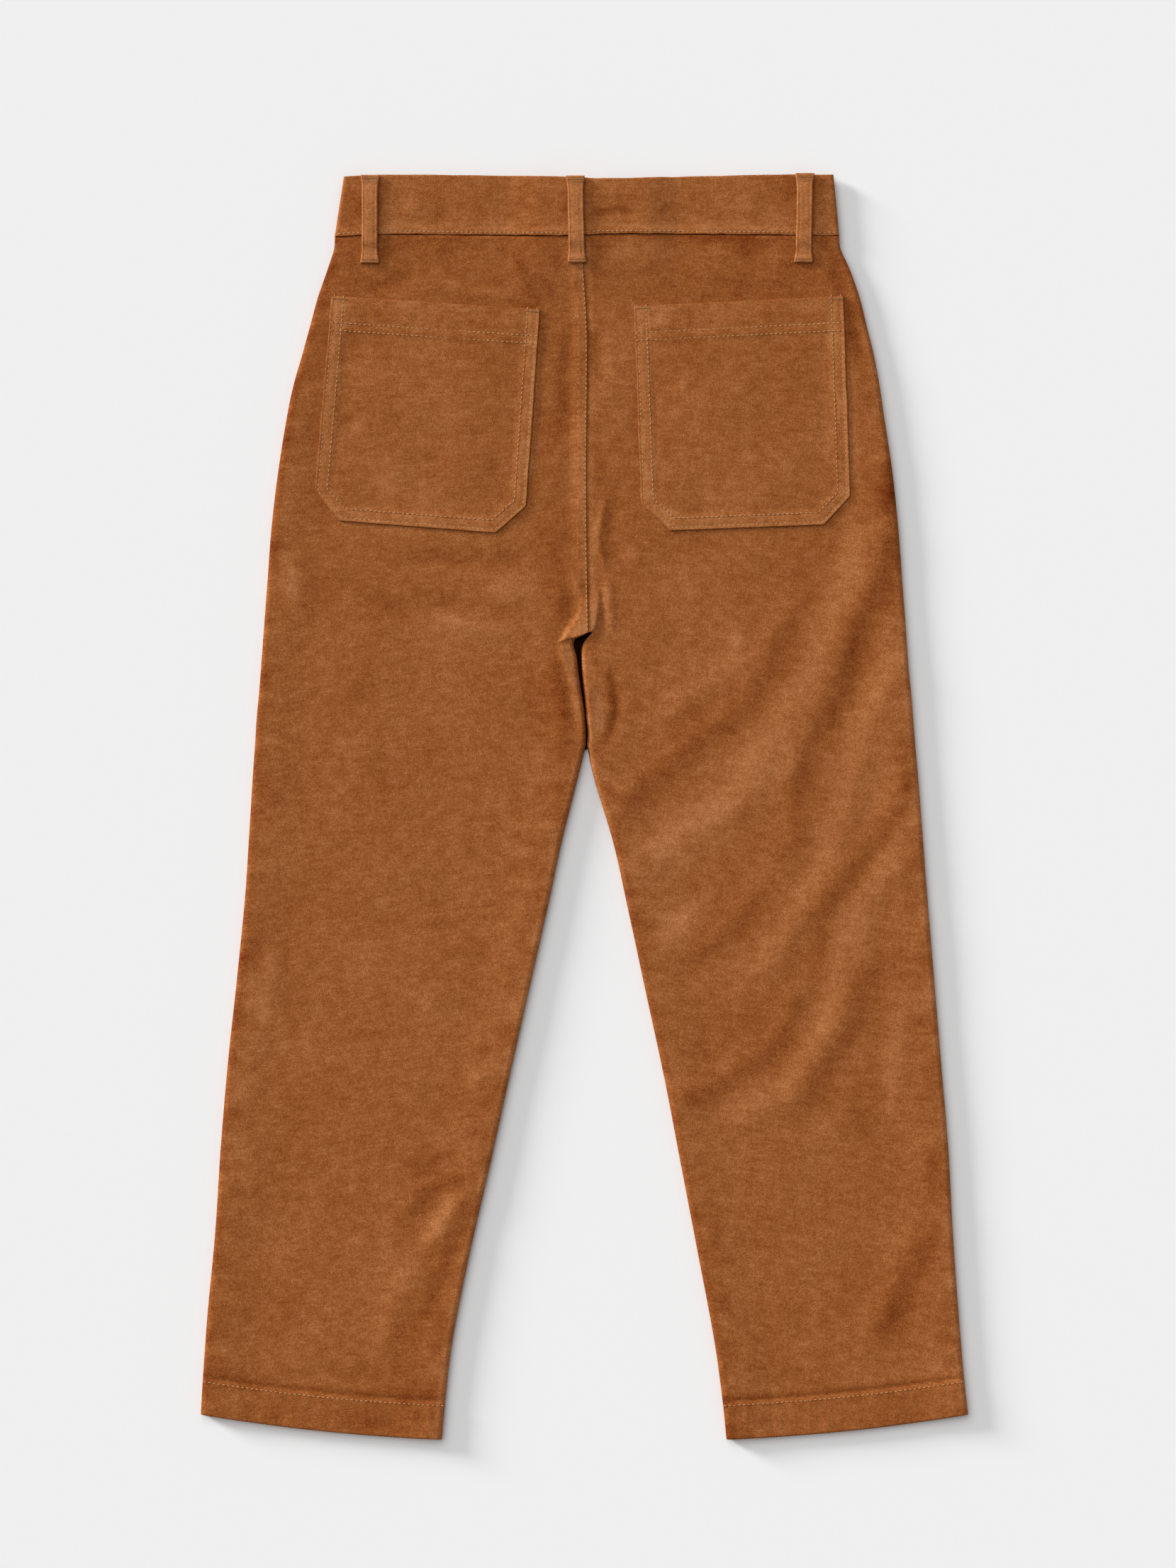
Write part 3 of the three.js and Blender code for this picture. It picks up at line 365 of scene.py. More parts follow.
    (-5, 0, 5, ((15, 212), (9, 204))),
    (-9, -0.3, 4, ((18, 190), (15, 177), (13, 165))),
    (8, 0.5, 2.4, ((10.5, 186), (7, 165), (8, 155), (12, 145))),
    (-14, -0.2, 1.7, ((10.8, 122), (10.6, 110))),
    # right hip
    (-8, 0.3, 5, ((184, 218), (187, 180))),
    (5, 0.2, 6, ((170, 196), (168, 180))),
    (10, 0, 4, ((166, 300), (176, 268), (182, 240))),
    (-7, 0, 5, ((183, 215), (187, 170))),
    (-11, -0.4, 5, ((149, 338), (153, 320), (158, 306), (162, 294), (165, 280), (168, 268))),
    # below the waistband
    (-15, 0, 2.5, ((62, 345), (105, 344))),
    (8, 0, 5, ((16, 336), (56, 338))),
    (-6, 0, 6, ((96, 338), (106, 332))),
    (9, 0, 5, ((74, 338), (84, 336))),
    (-8, 0, 5, ((98, 344), (95, 334))),
    (6, 0.2, 6, ((108, 334), (122, 334))),
    (-8, -0.2, 5, ((125, 335), (125, 325))),
    (-10, -0.2, 5, ((-141, 342), (-140, 326))),
    (-10, -0.2, 5, ((-123, 340), (-122, 330))),
    (-10, -0.4, 5, ((-108, 330), (-110, 323), (-122, 317), (-136, 315))),
    (-5, -0.2, 5, ((-87, 341), (-85, 330))),
    (-9, 0.3, 4, ((-45, 338), (-38, 328), (-34, 314), (-27, 303))),
    (-10, -0.2, 4, ((-18, 341), (-16, 328))),
    (-8, -0.2, 4, ((-27, 318), (-16, 311))),
    (-5, -0.1, 5, ((-57, 318), (-47, 317))),
    (-11, 0, 2, ((-44, 303.5), (-28, 304))),
    (8, 0.4, 3, ((-87, 319), (-72, 314), (-60, 312), (-42, 311))),
    (4, 0.1, 6, ((-72, 340), (-72, 326))),
    (-8, 0, 4, ((97, 313), (87, 310))),
    (-5, 0, 5, ((20, 316), (20, 308))),
    (-7, 0.1, 4, ((21, 301), (27, 295))),
    (-5, 0, 6, ((35, 340), (35, 330))),
    # left pocket
    (5, 0, 3, ((-150, 171.5), (-55, 163.5))),
    (7, 0, 6, ((-148, 301), (-148, 289))),
    (12, 0, 4, ((-33, 285), (-33, 277))),
    (7, 0, 3.5, ((-30, 272), (-33, 200))),
    (-8, 0, 3, ((-36, 286), (-37, 240))),
    (5, 0.2, 7, ((-130, 266), (-136, 255))),
    (5, 0.2, 7, ((-108, 251), (-108, 239))),
    (6, 0.3, 7, ((-115, 216), (-120, 197), (-115, 185))),
    (-6, -0.2, 6, ((-138, 287), (-138, 277))),
    (-5, -0.1, 5, ((-143, 257), (-142, 248))),
    (-8, -0.2, 5, ((-148, 231), (-142, 238))),
    (6, 0.2, 5, ((-138, 236), (-138, 226))),
    (-6, 0.3, 6, ((-80, 233), (-65, 228), (-54, 229))),
    (5, 0.2, 5, ((-67, 222), (-57, 222))),
    (-6, -0.2, 6, ((-89, 217), (-94, 206))),
    (-5, -0.1, 5, ((-60, 205), (-50, 203))),
    (-5, 0.1, 5, ((-56, 262), (-46, 259))),
    (-5, 0, 5, ((-58, 245), (-58, 235))),
    (-4, 0, 5, ((-92, 302), (-92, 292))),
    # right pocket
    (8, 0, 5, ((149.5, 298), (150, 205))),
    (10, 0, 7, ((156, 200), (158, 182))),
    (9, 0, 4, ((162, 275), (163, 195))),
    (-8, 0, 4, ((152, 275), (153, 205))),
    (-6, 0, 3, ((153, 240), (153, 185))),
    (9, 0, 6, ((45, 300), (45, 289))),
    (13, 0.2, 6, ((47, 185), (56, 171))),
    (6, 0.2, 3, ((50, 248), (58, 255), (66, 261))),
    (4, 0, 5, ((48, 270), (42, 262))),
    (4, 0.2, 6, ((46, 232), (58, 243))),
    (4, 0.1, 5, ((72, 220), (72, 210))),
    (8, 0.2, 3, ((75, 191), (75, 180))),
    (5, 0.1, 5, ((98, 217), (98, 207))),
    (3, 0, 6, ((95, 260), (95, 250))),
    (-4, 0, 5, ((72, 278), (60, 275))),
    (-6, 0.1, 5, ((79, 249), (87, 239))),
    (-6, 0, 5, ((63, 181), (72, 186))),
    (-5, 0, 5, ((50, 200), (50, 190))),
    (-5, 0, 4, ((104, 297), (128, 297))),
    (-5, 0, 4, ((110, 278), (126, 276))),
    (-6, 0, 5, ((140, 257), (142, 247))),
    (-6, 0, 5, ((145, 240), (145, 230))),
    (-4, 0, 6, ((130, 270), (130, 260))),
)
# The same for the waistband
BAND_FOLDS = (
    (-9, -0.2, 3, ((-124, 376), (-124, 358))),
    (-6, -0.2, 3, ((-16, 362), (-2, 362))),
    (-11, -0.5, 2.5, ((4, 360.5), (18, 361), (31, 361))),
    (-5, -0.2, 3, ((44, 362), (52, 362))),
    (-2, 0.3, 3.5, ((4, 370), (26, 370))),
    (-9, -0.1, 4, ((127, 382), (127, 374))),
    (4, 0, 4, ((143, 360), (142, 346))),
    (-12, 0, 9, ((112, 374), (146, 374))),
    (-10, 0, 8, ((-138, 376), (-138, 354))),
    (8, 0, 4, ((-118, 372), (-118, 352))),
    (-11, 0, 4, ((-11, 372), (-10, 352))),
    (8, 0, 4, ((10, 372), (30, 371))),
    (7, 0, 4, ((146, 376), (146, 350))),
    (-10, 0, 4, ((133, 378), (133, 352))),
    (-7, 0, 7, ((-133, 376), (-133, 354))),
    (-12, 0, 9, ((-44, 373), (-31, 371))),
    (-6, 0, 8, ((10, 368), (30, 368))),
    (6, 0, 4, ((34, 351), (58, 351))),
    (7, 0.2, 4, ((-122, 353), (-114, 353))),
    (7, 0.2, 4, ((-62, 352), (-38, 352))),
    (7, 0.2, 5, ((60, 352), (88, 352))),
    (5, 0.3, 5, ((-114, 356), (-100, 372))),
    (-4, -0.3, 5, ((-96, 350), (-84, 366))),
)
SHADE = 0
RISE = 1
CREASE_TAPER = 15.0
# Away from the light over the surface, and how far past its lit flank a crease is highest, in half widths
AWAY = np.array([0.87, -0.5])
PAST_FLANK = 0.7
# A folded edge is painted darker on its side towards the light, as painted shade, and lighter on its side
# away from it, as painted light, over this width. The painted light fades up the hips, and both fade up the
# inner edges of the thighs, between these heights.
EDGE_BAND = 3.6
EDGE_TOWARD = 17.0
EDGE_AWAY = 13.0
EDGE_FADE = (90.0, 190.0)
INNER_EDGE_FADE = (-60.0, 20.0)
# The fronts are a little darker, and the part of them under the gap at the crotch, where no light gets in, is
# painted deep shade; it reaches this far. The shade goes to both faces, so the fronts are dark there from
# below as well.
FRONT_SHADE = -7.0
IN_GAP_SHADE = -60.0
GAP = {"across": 14.0, "above": 12.0, "below": 8.0}
# Shade of the waistband's fronts, and of the back loops
BAND_FRONT_SHADE = -4.0
LOOP_SHADE = 13.0
# The short wrinkles of the folded edges: how high they stand, and how much lighter they are painted where
# they rise, as their painted light and shade
PUCKER_RISE = 0.14
PUCKER_SHADE = 14.0
# Heights between which the back turns darker: over the seat; under the waistband, where the darkness is the
# band's painted shadow; and across the top of the left thigh, where it turns lighter again
SEAT_SHADE = (150.0, 200.0)
BELOW_BAND = (334.0, 345.0)
THIGH_SHADE = (95.0, 125.0, 150.0, 175.0)

# The fold that the end of the seat seam throws over the crotch: its lower edge, and its sides above that
FLAP_EDGE = table(
    "x y",
    (-40.0, 104.4),
    (-24.0, 102.0),
    (-15.2, 100.1),
    (-10.8, 101.6),
    (-4.7, 102.6),
    (0.3, 104.4),
    (5.3, 106.6),
    (10.0, 108.6),
    (18.0, 106.4),
    (30.0, 104.4),
)
FLAP_SIDES = table(
    "y left right",
    (100.2, -15.6, 2.4),
    (104.6, -12.9, 5.0),
    (108.7, -10.6, 7.8),
    (118.8, -4.6, 9.6),
    (128.0, -3.6, 10.4),
    (140.0, -5.0, 9.0),
)
# How high it stands, and how far above its edge it dies away
FLAP_RISE = 1.8
FLAP_UP = (3.0, 30.0)
# The rows of the grid beside the crotch follow that edge, and are straight again this far from it
CROTCH_ROW = 104.4
BEND_REACH = 13.0

# Patch pockets: corners of the outline from the top left, clockwise, and the cut corners' sizes
POCKETS = {
    "left": {
        "corners": ((-153.3, 309.8), (-26.9, 301.6), (-36.5, 164.6), (-165.0, 174.6)),
        "cut": (16.0, 17.5),
    },
    "right": {
        "corners": ((29.9, 303.5), (157.1, 309.7), (161.8, 171.6), (35.0, 166.6)),
        "cut": (17.0, 16.5),
    },
}
# Cloth, lift off the back, hem of the mouth, its two rows of stitching, and the two rows round the edge
POCKET_CLOTH = 0.65
POCKET_LIFT = 0.2
POCKET_HEM = 22.0
POCKET_ROWS = (16.2, 20.9)
EDGE_ROW = 1.9
INNER_ROW = 7.5

# Belt loops: middle of the upper and lower ends
BACK_LOOPS = {
    "left": ((-130.0, 382.9), (-130.2, 329.5)),
    "centre": ((-5.6, 382.2), (-4.6, 329.7)),
    "right": ((133.6, 384.0), (132.9, 329.9)),
}
FRONT_LOOPS = {
    "left": ((-84.0, 382.6), (-84.0, 329.5)),
    "right": ((88.0, 382.6), (88.0, 329.5)),
}
# Width at the ends and the waist, cloth, lift off the band, arch, turned ends and place of the tacks
LOOP = {"end": 11.4, "waist": 9.6, "cloth": 1.6, "lift": 0.3, "arch": 0.6, "turned": 3.4, "tack": 2.2}
FRONT_LOOP_CLOTH = 1.6

# Lean of the wales from straight down the body, in degrees, on each leg
GRAIN = {-1: -7.0, 1: 7.0}


class TrousersCloth(bpy.types.PropertyGroup):
    """Sizes and colours of the cloth."""

    colour: bpy.props.FloatVectorProperty(
        name="Cloth colour",
        description="Ground colour of the needlecord",
        subtype="COLOR",
        size=3,
        default=(0.287, 0.0908, 0.0222),
        min=0,
        max=1,
    )
    wale: bpy.props.FloatProperty(
        name="Wale",
        description="Width of one cord of the pile with its channel",
        subtype="DISTANCE",
        default=1.1 * MM,
        min=0.5 * MM,
        max=6 * MM,
    )
    relief: bpy.props.FloatProperty(
        name="Crease relief",
        description="How strongly the creases stand out",
        subtype="FACTOR",
        default=1.0,
        min=0,
        max=2,
    )


class TrousersStitching(bpy.types.PropertyGroup):
    """Sizes of the topstitching."""

    pitch: bpy.props.FloatProperty(
        name="Stitch length",
        description="From one needle hole to the next",
        subtype="DISTANCE",
        default=2.85 * MM,
        min=1 * MM,
        max=6 * MM,
    )
    thread: bpy.props.FloatProperty(
        name="Thread",
        description="Width of the thread",
        subtype="DISTANCE",
        default=0.62 * MM,
        min=0.2 * MM,
        max=1.5 * MM,
    )


def ease(start, end, x):
    """0 up to start, 1 past end, and an even S between them."""
    t = np.clip((np.asarray(x, dtype=float) - start) / (end - start), 0, 1)
    return t * t * (3 - 2 * t)


def bell(away, half):
    """1 where away is 0, fading to both sides: about a third is left at half."""
    return np.exp(-((away / half) ** 2))


def curve(rows, name, at):
    """A column of a table, on a smooth curve through its rows."""
    knots = next(iter(rows.values()))
    values = rows[name]
    slopes = np.gradient(values, knots)
    slopes[1:-1] = (values[2:] - values[:-2]) / (knots[2:] - knots[:-2])
    at = np.asarray(at, dtype=float)
    i = np.clip(np.searchsorted(knots, at) - 1, 0, len(knots) - 2)
    span = knots[i + 1] - knots[i]
    t = np.clip((at - knots[i]) / span, 0, 1)
    rise = values[i + 1] - values[i]
    bend = (1 - t) * (slopes[i] * span - rise) + t * (rise - slopes[i + 1] * span)
    return values[i] + t * rise + t * (1 - t) * bend


def even(start, end, step):
    """Evenly spaced values, both ends in, no further apart than step."""
    return np.linspace(start, end, max(2, math.ceil(abs(end - start) / step) + 1))


def graded(length, step):
    """Places along a length, close together at both ends."""
    ends = np.array([0, 0.18, 0.42, 0.75, 1.15, 1.6, 2.1])
    middle = even(ends[-1], length - ends[-1], step)[1:-1]
    return np.concatenate([ends, middle, length - ends[::-1]])


def soft_noise(x, y, size, seed):
    """Even bumps about size across, from -1 to 1."""
    lattice = np.random.default_rng(seed).uniform(-1, 1, (64, 64))
    gx = np.asarray(x) / size + 17.3
    gy = np.asarray(y) / size + 31.7
    i = np.floor(gx).astype(int)
    j = np.floor(gy).astype(int)
    u = gx - i
    v = gy - j
    u = u * u * (3 - 2 * u)
    v = v * v * (3 - 2 * v)

    def at(a, b):
        return lattice[a % 64, b % 64]

    low = at(i, j) * (1 - u) + at(i + 1, j) * u
    high = at(i, j + 1) * (1 - u) + at(i + 1, j + 1) * u
    return low * (1 - v) + high * v


def along_line(line, x, y):
    """Distance from each point to a line of points, and the shorter way along it to an end."""
    nearest = np.full(np.shape(x), np.inf)
    along = np.zeros(np.shape(x))
    total = 0.0
    for (ax, ay), (bx, by) in zip(line[:-1], line[1:]):
        length = math.hypot(bx - ax, by - ay)
        t = np.clip(((x - ax) * (bx - ax) + (y - ay) * (by - ay)) / length**2, 0, 1)
        away = np.hypot(x - ax - t * (bx - ax), y - ay - t * (by - ay))
        along = np.where(away < nearest, total + t * length, along)
        nearest = np.minimum(away, nearest)
        total += length
    return nearest, np.minimum(along, total - along)


def strokes(rows, column, x, y):
    """Sum of the soft strokes of a table of folds: their shade or their rise."""
    x, y = np.broadcast_arrays(x, y)
    total = np.zeros(x.shape)
    for row in rows:
        half = row[2]
        line = np.array(row[3], dtype=float)
        if column == RISE:
            line = line + AWAY * PAST_FLANK * half * np.sign(row[SHADE] * row[RISE])
        low = line.min(axis=0) - 2.6 * half
        high = line.max(axis=0) + 2.6 * half
        near = (x > low[0]) & (x < high[0]) & (y > low[1]) & (y < high[1])
        if row[column] and near.any():
            length = np.hypot(*np.diff(line, axis=0).T).sum()
            away, to_end = along_line(line, x[near], y[near])
            faded = 0.3 + 0.7 * ease(0, min(CREASE_TAPER, 2 * half, 0.4 * length), to_end)
            total[near] += row[column] * bell(away, half) * faded
    return total


def hump(x):
    """Where the lapped waistband under the middle lifts what lies on it."""
    low = ease(HUMP["low"] - HUMP["ramp"], HUMP["low"], x)
    return low * (1 - ease(HUMP["high"], HUMP["high"] + HUMP["ramp"], x))


def floor_at(y):
    """Underside of the fronts: on the floor, and a little off it at the waist."""
    return WAIST_LIFT * ease(*FRONT_LIFT, y)


def seam_height(y):
    """Height of the side seam, halfway up the folded edge."""
    return (floor_at(y) + SIDE_TOP + (WAIST_TOP - SIDE_TOP) * ease(*WAIST_RISE, y)) / 2


def band_bottom(x):
    """Lower edge of the waistband."""
    return curve(BAND, "bottom", x)


def band_top(x):
    """Upper edge of the waistband."""
    return curve(BAND, "top", x)


def relief(x, y):
    """Creases, and the faint unevenness between them."""
    amount = bpy.context.scene.trousers_cloth.relief
    fine = 0.2 * soft_noise(x, y, 46, 3) + 0.14 * soft_noise(x, y, 21, 5) + 0.05 * soft_noise(x, y, 9, 8)
    return amount * (strokes(FOLDS, RISE, x, y) + fine) * (1 - 0.8 * ease(326, 346, y))


def back_level(x, y, outside, inside=None):
    """Top of the backs. outside and inside are distances in from the folded edges."""
    sag = ease(0, SAG_REACH, outside)
    if inside is not None:
        sag = sag * (1 - (1 - ease(0, SAG_REACH, inside)) * (1 - ease(50, 118, y)))
    level = SIDE_TOP - SIDE_SAG * sag
    level = level + (WAIST_TOP - 0.3 - level) * ease(*WAIST_RISE, y)
    return level + 1.6 * hump(x) * ease(300, 346, y)


def flap(x, y):
    """Rise of the fold over the crotch."""
    above = y - curve(FLAP_EDGE, "y", x)
    left = curve(FLAP_SIDES, "left", y)
    right = curve(FLAP_SIDES, "right", y)
    across = ease(left - 0.8, left + 3.2, x) * (1 - ease(right - 2.2, right + 0.8, x))
    return FLAP_RISE * (1 - ease(*FLAP_UP, above)) * across * ease(-0.5, 0.5, above)


def sections(side, ys):
    """Sections of one side at the given heights: a row for each, as arrays of one column."""
    y = np.asarray(ys, dtype=float)[:, None]
    folded = y < CROTCH_Y
    edge, leg = ("left", "L") if side < 0 else ("right", "R")
    above = np.maximum(y, CROTCH_Y)
    below = np.minimum(y, LEGS["y"][-1])
    return {
        "y": y,
        "folded": folded,
        "outer": np.where(folded, curve(LEGS, "outer" + leg, below), curve(SEAT, edge, above)),
        "inner": np.where(folded, curve(LEGS, "inner" + leg, below), curve(SEAT, "seam", above)),
        "drop": np.where(folded, curve(LEGS, "drop", below), 0),
        "bow": np.where(folded, curve(LEGS, "bow", below), 0),
        "roll": np.where(folded, curve(LEGS, "roll" + leg, below), ROLL),
        "bends": 1.0,
    }


def width_of(rows):
    """Width of each section."""
    return np.hypot(rows["inner"] - rows["outer"], rows["drop"])


def along_section(rows, start):
    """Points of each section, start mm in from its outer edge."""
    t = start / width_of(rows)
    x = rows["outer"] + (rows["inner"] - rows["outer"]) * t
    y = rows["y"] - rows["drop"] * t - rows["bow"] * 4 * t * (1 - t)
    y = y + (band_bottom(x) - SEAM_GAP - SEAT_TOP) * ease(SEAT_TOP - 14, SEAT_TOP, rows["y"])
    bend = 1 - ease(0.5, BEND_REACH, np.abs(rows["y"] - CROTCH_ROW))
    return x, y + (curve(FLAP_EDGE, "y", x) - CROTCH_ROW) * bend * rows["bends"]


def cloth_at(rows):
    """Thickness, doubled in the hem, and how far the lower edge is turned under."""
    hem = 1 - ease(HEM_LINE - 1.2, HEM_LINE, rows["y"])
    return CLOTH + (HEM_CLOTH - CLOTH) * hem, hem


def fell(side, to_seam, folded):
    """The felled seam lies on the left: raised, with a rounded edge against the seam."""
    if side > 0:
        return -0.2 * (1 - ease(0, 1.6, to_seam)) * ~folded
    raised = 1 - ease(FELL_WIDTH - 1.5, FELL_WIDTH + 4, to_seam)
    edge = 0.55 * (1 - ease(0, 0.6, to_seam))
    groove = 0.14 * bell(to_seam - 1.0, 0.6) + 0.06 * bell(to_seam - 6.0, 0.8)
    return (FELL_RISE * raised - edge - groove) * ~folded


def back_shade(side, rows, start):
    """Painted light and shade of a back panel, and its darker regions, in grey levels."""
    x, y = along_section(rows, start)
    to_seam = width_of(rows) - start
    # Darker over the seat and across the top of the left thigh, with painted shadow under the waistband
    seat = -5.0 * ease(*SEAT_SHADE, y) - 4.0 * ease(*BELOW_BAND, y)
    thigh = -1.5 * (1 - ease(-40, -20, x)) * ease(*THIGH_SHADE[:2], y) * (1 - ease(*THIGH_SHADE[2:], y))
    # The hem is darker, with painted shade along the groove above its stitching
    hem = -4.0 * cloth_at(rows)[1] - 12.0 * bell(rows["y"] - HEM_GROOVE - 0.9, 2.6)
    # Painted shade on the folded edge towards the light, and painted light on the edge away from it
    outer_edge = bell(start, EDGE_BAND)
    inner_edge = bell(to_seam, EDGE_BAND) * rows["folded"] * (1 - ease(*INNER_EDGE_FADE, rows["y"]))
    toward, away = (outer_edge, inner_edge) if side < 0 else (inner_edge, outer_edge)
    edges = EDGE_AWAY * away * (1 - ease(*EDGE_FADE, y)) - EDGE_TOWARD * toward
    # Along the seat seam: on the left a painted highlight on the fell's raised edge and painted shade in the
    # seam  line; on the right painted light over the fell's shadow and a little painted shade at the seam
    if side < 0:
        lit = 10.0 * bell(to_seam - 1.4, 1.2) + 4.0 * (1 - ease(5, 9, to_seam))
        seam = lit - 16.0 * bell(to_seam, 0.8)
    else:
        seam = 9.0 * bell(to_seam - 2.6, 2.0) - 3.0 * bell(to_seam, 1.0)
    # Painted light on the fold over the crotch, as high as it stands
    fold = 9.0 * (flap(x, y) / FLAP_RISE) * (1 - ease(4, 16, y - CROTCH_ROW))
    seam = seam * ~rows["folded"]
    return seat + thigh + hem + edges + fold + seam + PUCKER_SHADE * puckers(side, rows, start)


def puckers(side, rows, start):
    """Short uneven wrinkles across the folded edges, from -1 to 1, that die away inwards."""
    y = rows["y"]
    width = width_of(rows)
    made = 0.0
    for place, seed in ((start, 91), (width - start, 93)):
        reach = 12.0 + 5.0 * soft_noise(y, 0 * y, 27, seed)
        ripple = 0.7 * soft_noise(place * 0.4, y, 5.5, seed + side)
        ripple = ripple + 0.5 * soft_noise(place * 0.3, y, 11, seed + 3 * side)
        fade = bell(np.clip(place - 2, 0, None), reach)
        made = made + ripple * fade * (rows["folded"] if place is not start else 1.0)
    return made


def back_point(rows, start, side):
    """Outer surface of a back panel, start mm in from its outer edge: x, y and crown height."""
    width = width_of(rows)
    x, y = along_section(rows, start)
    inside = np.where(rows["folded"], width - start - ROLL, FAR_IN)
    crown = back_level(x, y, start - ROLL, inside) + relief(x, y)
    extra = flap(x, y) + fell(side, width - start, rows["folded"])
    hem = cloth_at(rows)[1]
    groove = 0.35 * bell(rows["y"] - HEM_GROOVE, 1.3)
    pucker = 0.16 * hem * soft_noise(x * 3.0, y * 0.6, 9, 21) + 0.35 * hem - groove
    return x, y, crown + pucker + PUCKER_RISE * puckers(side, rows, start), extra


def row_places():
    """Heights of the sections from the waist to the hem, close together at the crotch and the hem."""
    seat = [even(SEAT_TOP, 124, SEAT_STEP), even(124, 112, 1.2)[1:], even(112, CROTCH_Y, FINE_STEP)[1:]]
    crotch = [even(CROTCH_Y - CROTCH_STEP, 96, FINE_STEP), even(96, 34, 1.6)[1:]]
    legs = [even(34, HEM_LINE + 6, LEG_STEP)[1:], even(HEM_LINE + 6, HEM_LINE - 4, 0.8)[1:]]
    hem = [even(HEM_LINE - 4, HEM_END + 1.6, HEM_STEP)[1:], HEM_END + np.array([1.1, 0.6, 0.25, 0.0])]
    return np.concatenate([*seat, *crotch, *legs, *hem])


def hem_turn(rows, thickness):
    """The hem's lower edge is a fold: how far the outer side falls away at its end."""
    left = np.clip(rows["y"] - HEM_END, 0, 1.2) / 1.2
    return thickness * 0.5 * (1 - np.sqrt(1 - (1 - left) ** 2))


def rolled_columns(width, roll, fine, step):
    """Places in from the outer edge, a row for each section, with how far up the roll each is."""
    up = np.linspace(0, math.pi / 2, ROLL_UP)
    start = np.broadcast_to(ROLL * (1 - np.cos(up)), (len(width), ROLL_UP))
    middle = [
        ROLL + (width - fine - ROLL) * np.linspace(0, 1, round(LEG_WIDTH / step))[1:],
        width - fine + (fine - roll) * np.linspace(0, 1, round(FINE_REACH / FINE_ACROSS))[1:],
    ]
    over = np.linspace(0, 1, ROLL_OVER + 1)[1:]
    end = width - roll + roll * np.sin(over * math.pi / 2)
    return np.concatenate([start, *middle, end], axis=1), up, over


def back_layers(side):
    """Outer and inner surfaces of a back panel, as grids of points."""
    rows = sections(side, row_places())
    width = width_of(rows)
    wider = width[rows["folded"]][0] - width[~rows["folded"]][-1]
    fine = FINE_REACH + wider * rows["folded"] * ease(WIDER_FROM, CROTCH_Y, rows["y"])
    start, up, over = rolled_columns(width, rows["roll"], fine, ACROSS_STEP)
    thickness, _ = cloth_at(rows)
    x, y, crown, extra = back_point(rows, start, side)
    seam = seam_height(rows["y"]) + SEAM_GAP / 2
    end = CLOTH + SEAM_GAP
    end = end + (seam - end) * (1 - ease(FRONT_CROTCH_Y - 12, FRONT_CROTCH_Y + 4, rows["y"]))
    count = start.shape[1]
    rise = np.ones(start.shape)
    rise[:, :ROLL_UP] = np.sin(up)
    rise[:, -ROLL_OVER:] = np.where(rows["folded"], np.cos(over * math.pi / 2), 1)
    base = np.where(np.arange(count) < count // 2, seam, end)
    z = base + (crown - hem_turn(rows, thickness) - base) * rise + extra
    outer = np.stack([x, y, z], axis=-1)
    inward = start.copy()
    inward[:, :ROLL_UP] = ROLL - (ROLL - thickness) * np.cos(up)
    roll = rows["roll"]
    folded_in = width - roll + (roll - thickness) * np.sin(over * math.pi / 2)
    inward[:, -ROLL_OVER:] = np.where(rows["folded"], folded_in, start[:, -ROLL_OVER:])
    ix, iy = along_section(rows, inward)
    low = np.maximum(base, crown - thickness + hem_turn(rows, thickness))
    iz = base + (low - base) * rise
    iz = np.where(rows["folded"] | (np.arange(count) < count // 2), iz, crown - thickness)
    inner = np.stack([ix, iy, np.minimum(iz, z - 0.05)], axis=-1)
    shade = back_shade(side, rows, start)
    return (outer, inner, shade) if side < 0 else (outer[:, ::-1], inner[:, ::-1], shade[:, ::-1])


def front_end(side, y):
    """Where a front ends at the middle: at the seam, or past it where the fly laps."""
    opened = ease(*FLY_OPEN, y)
    if side < 0:
        return FRONT_SEAM_X - FRONT_SEAM_GAP / 2 + opened * FLY_LAP
    return FRONT_SEAM_X + FRONT_SEAM_GAP / 2 - opened * FLY_UNDERLAP


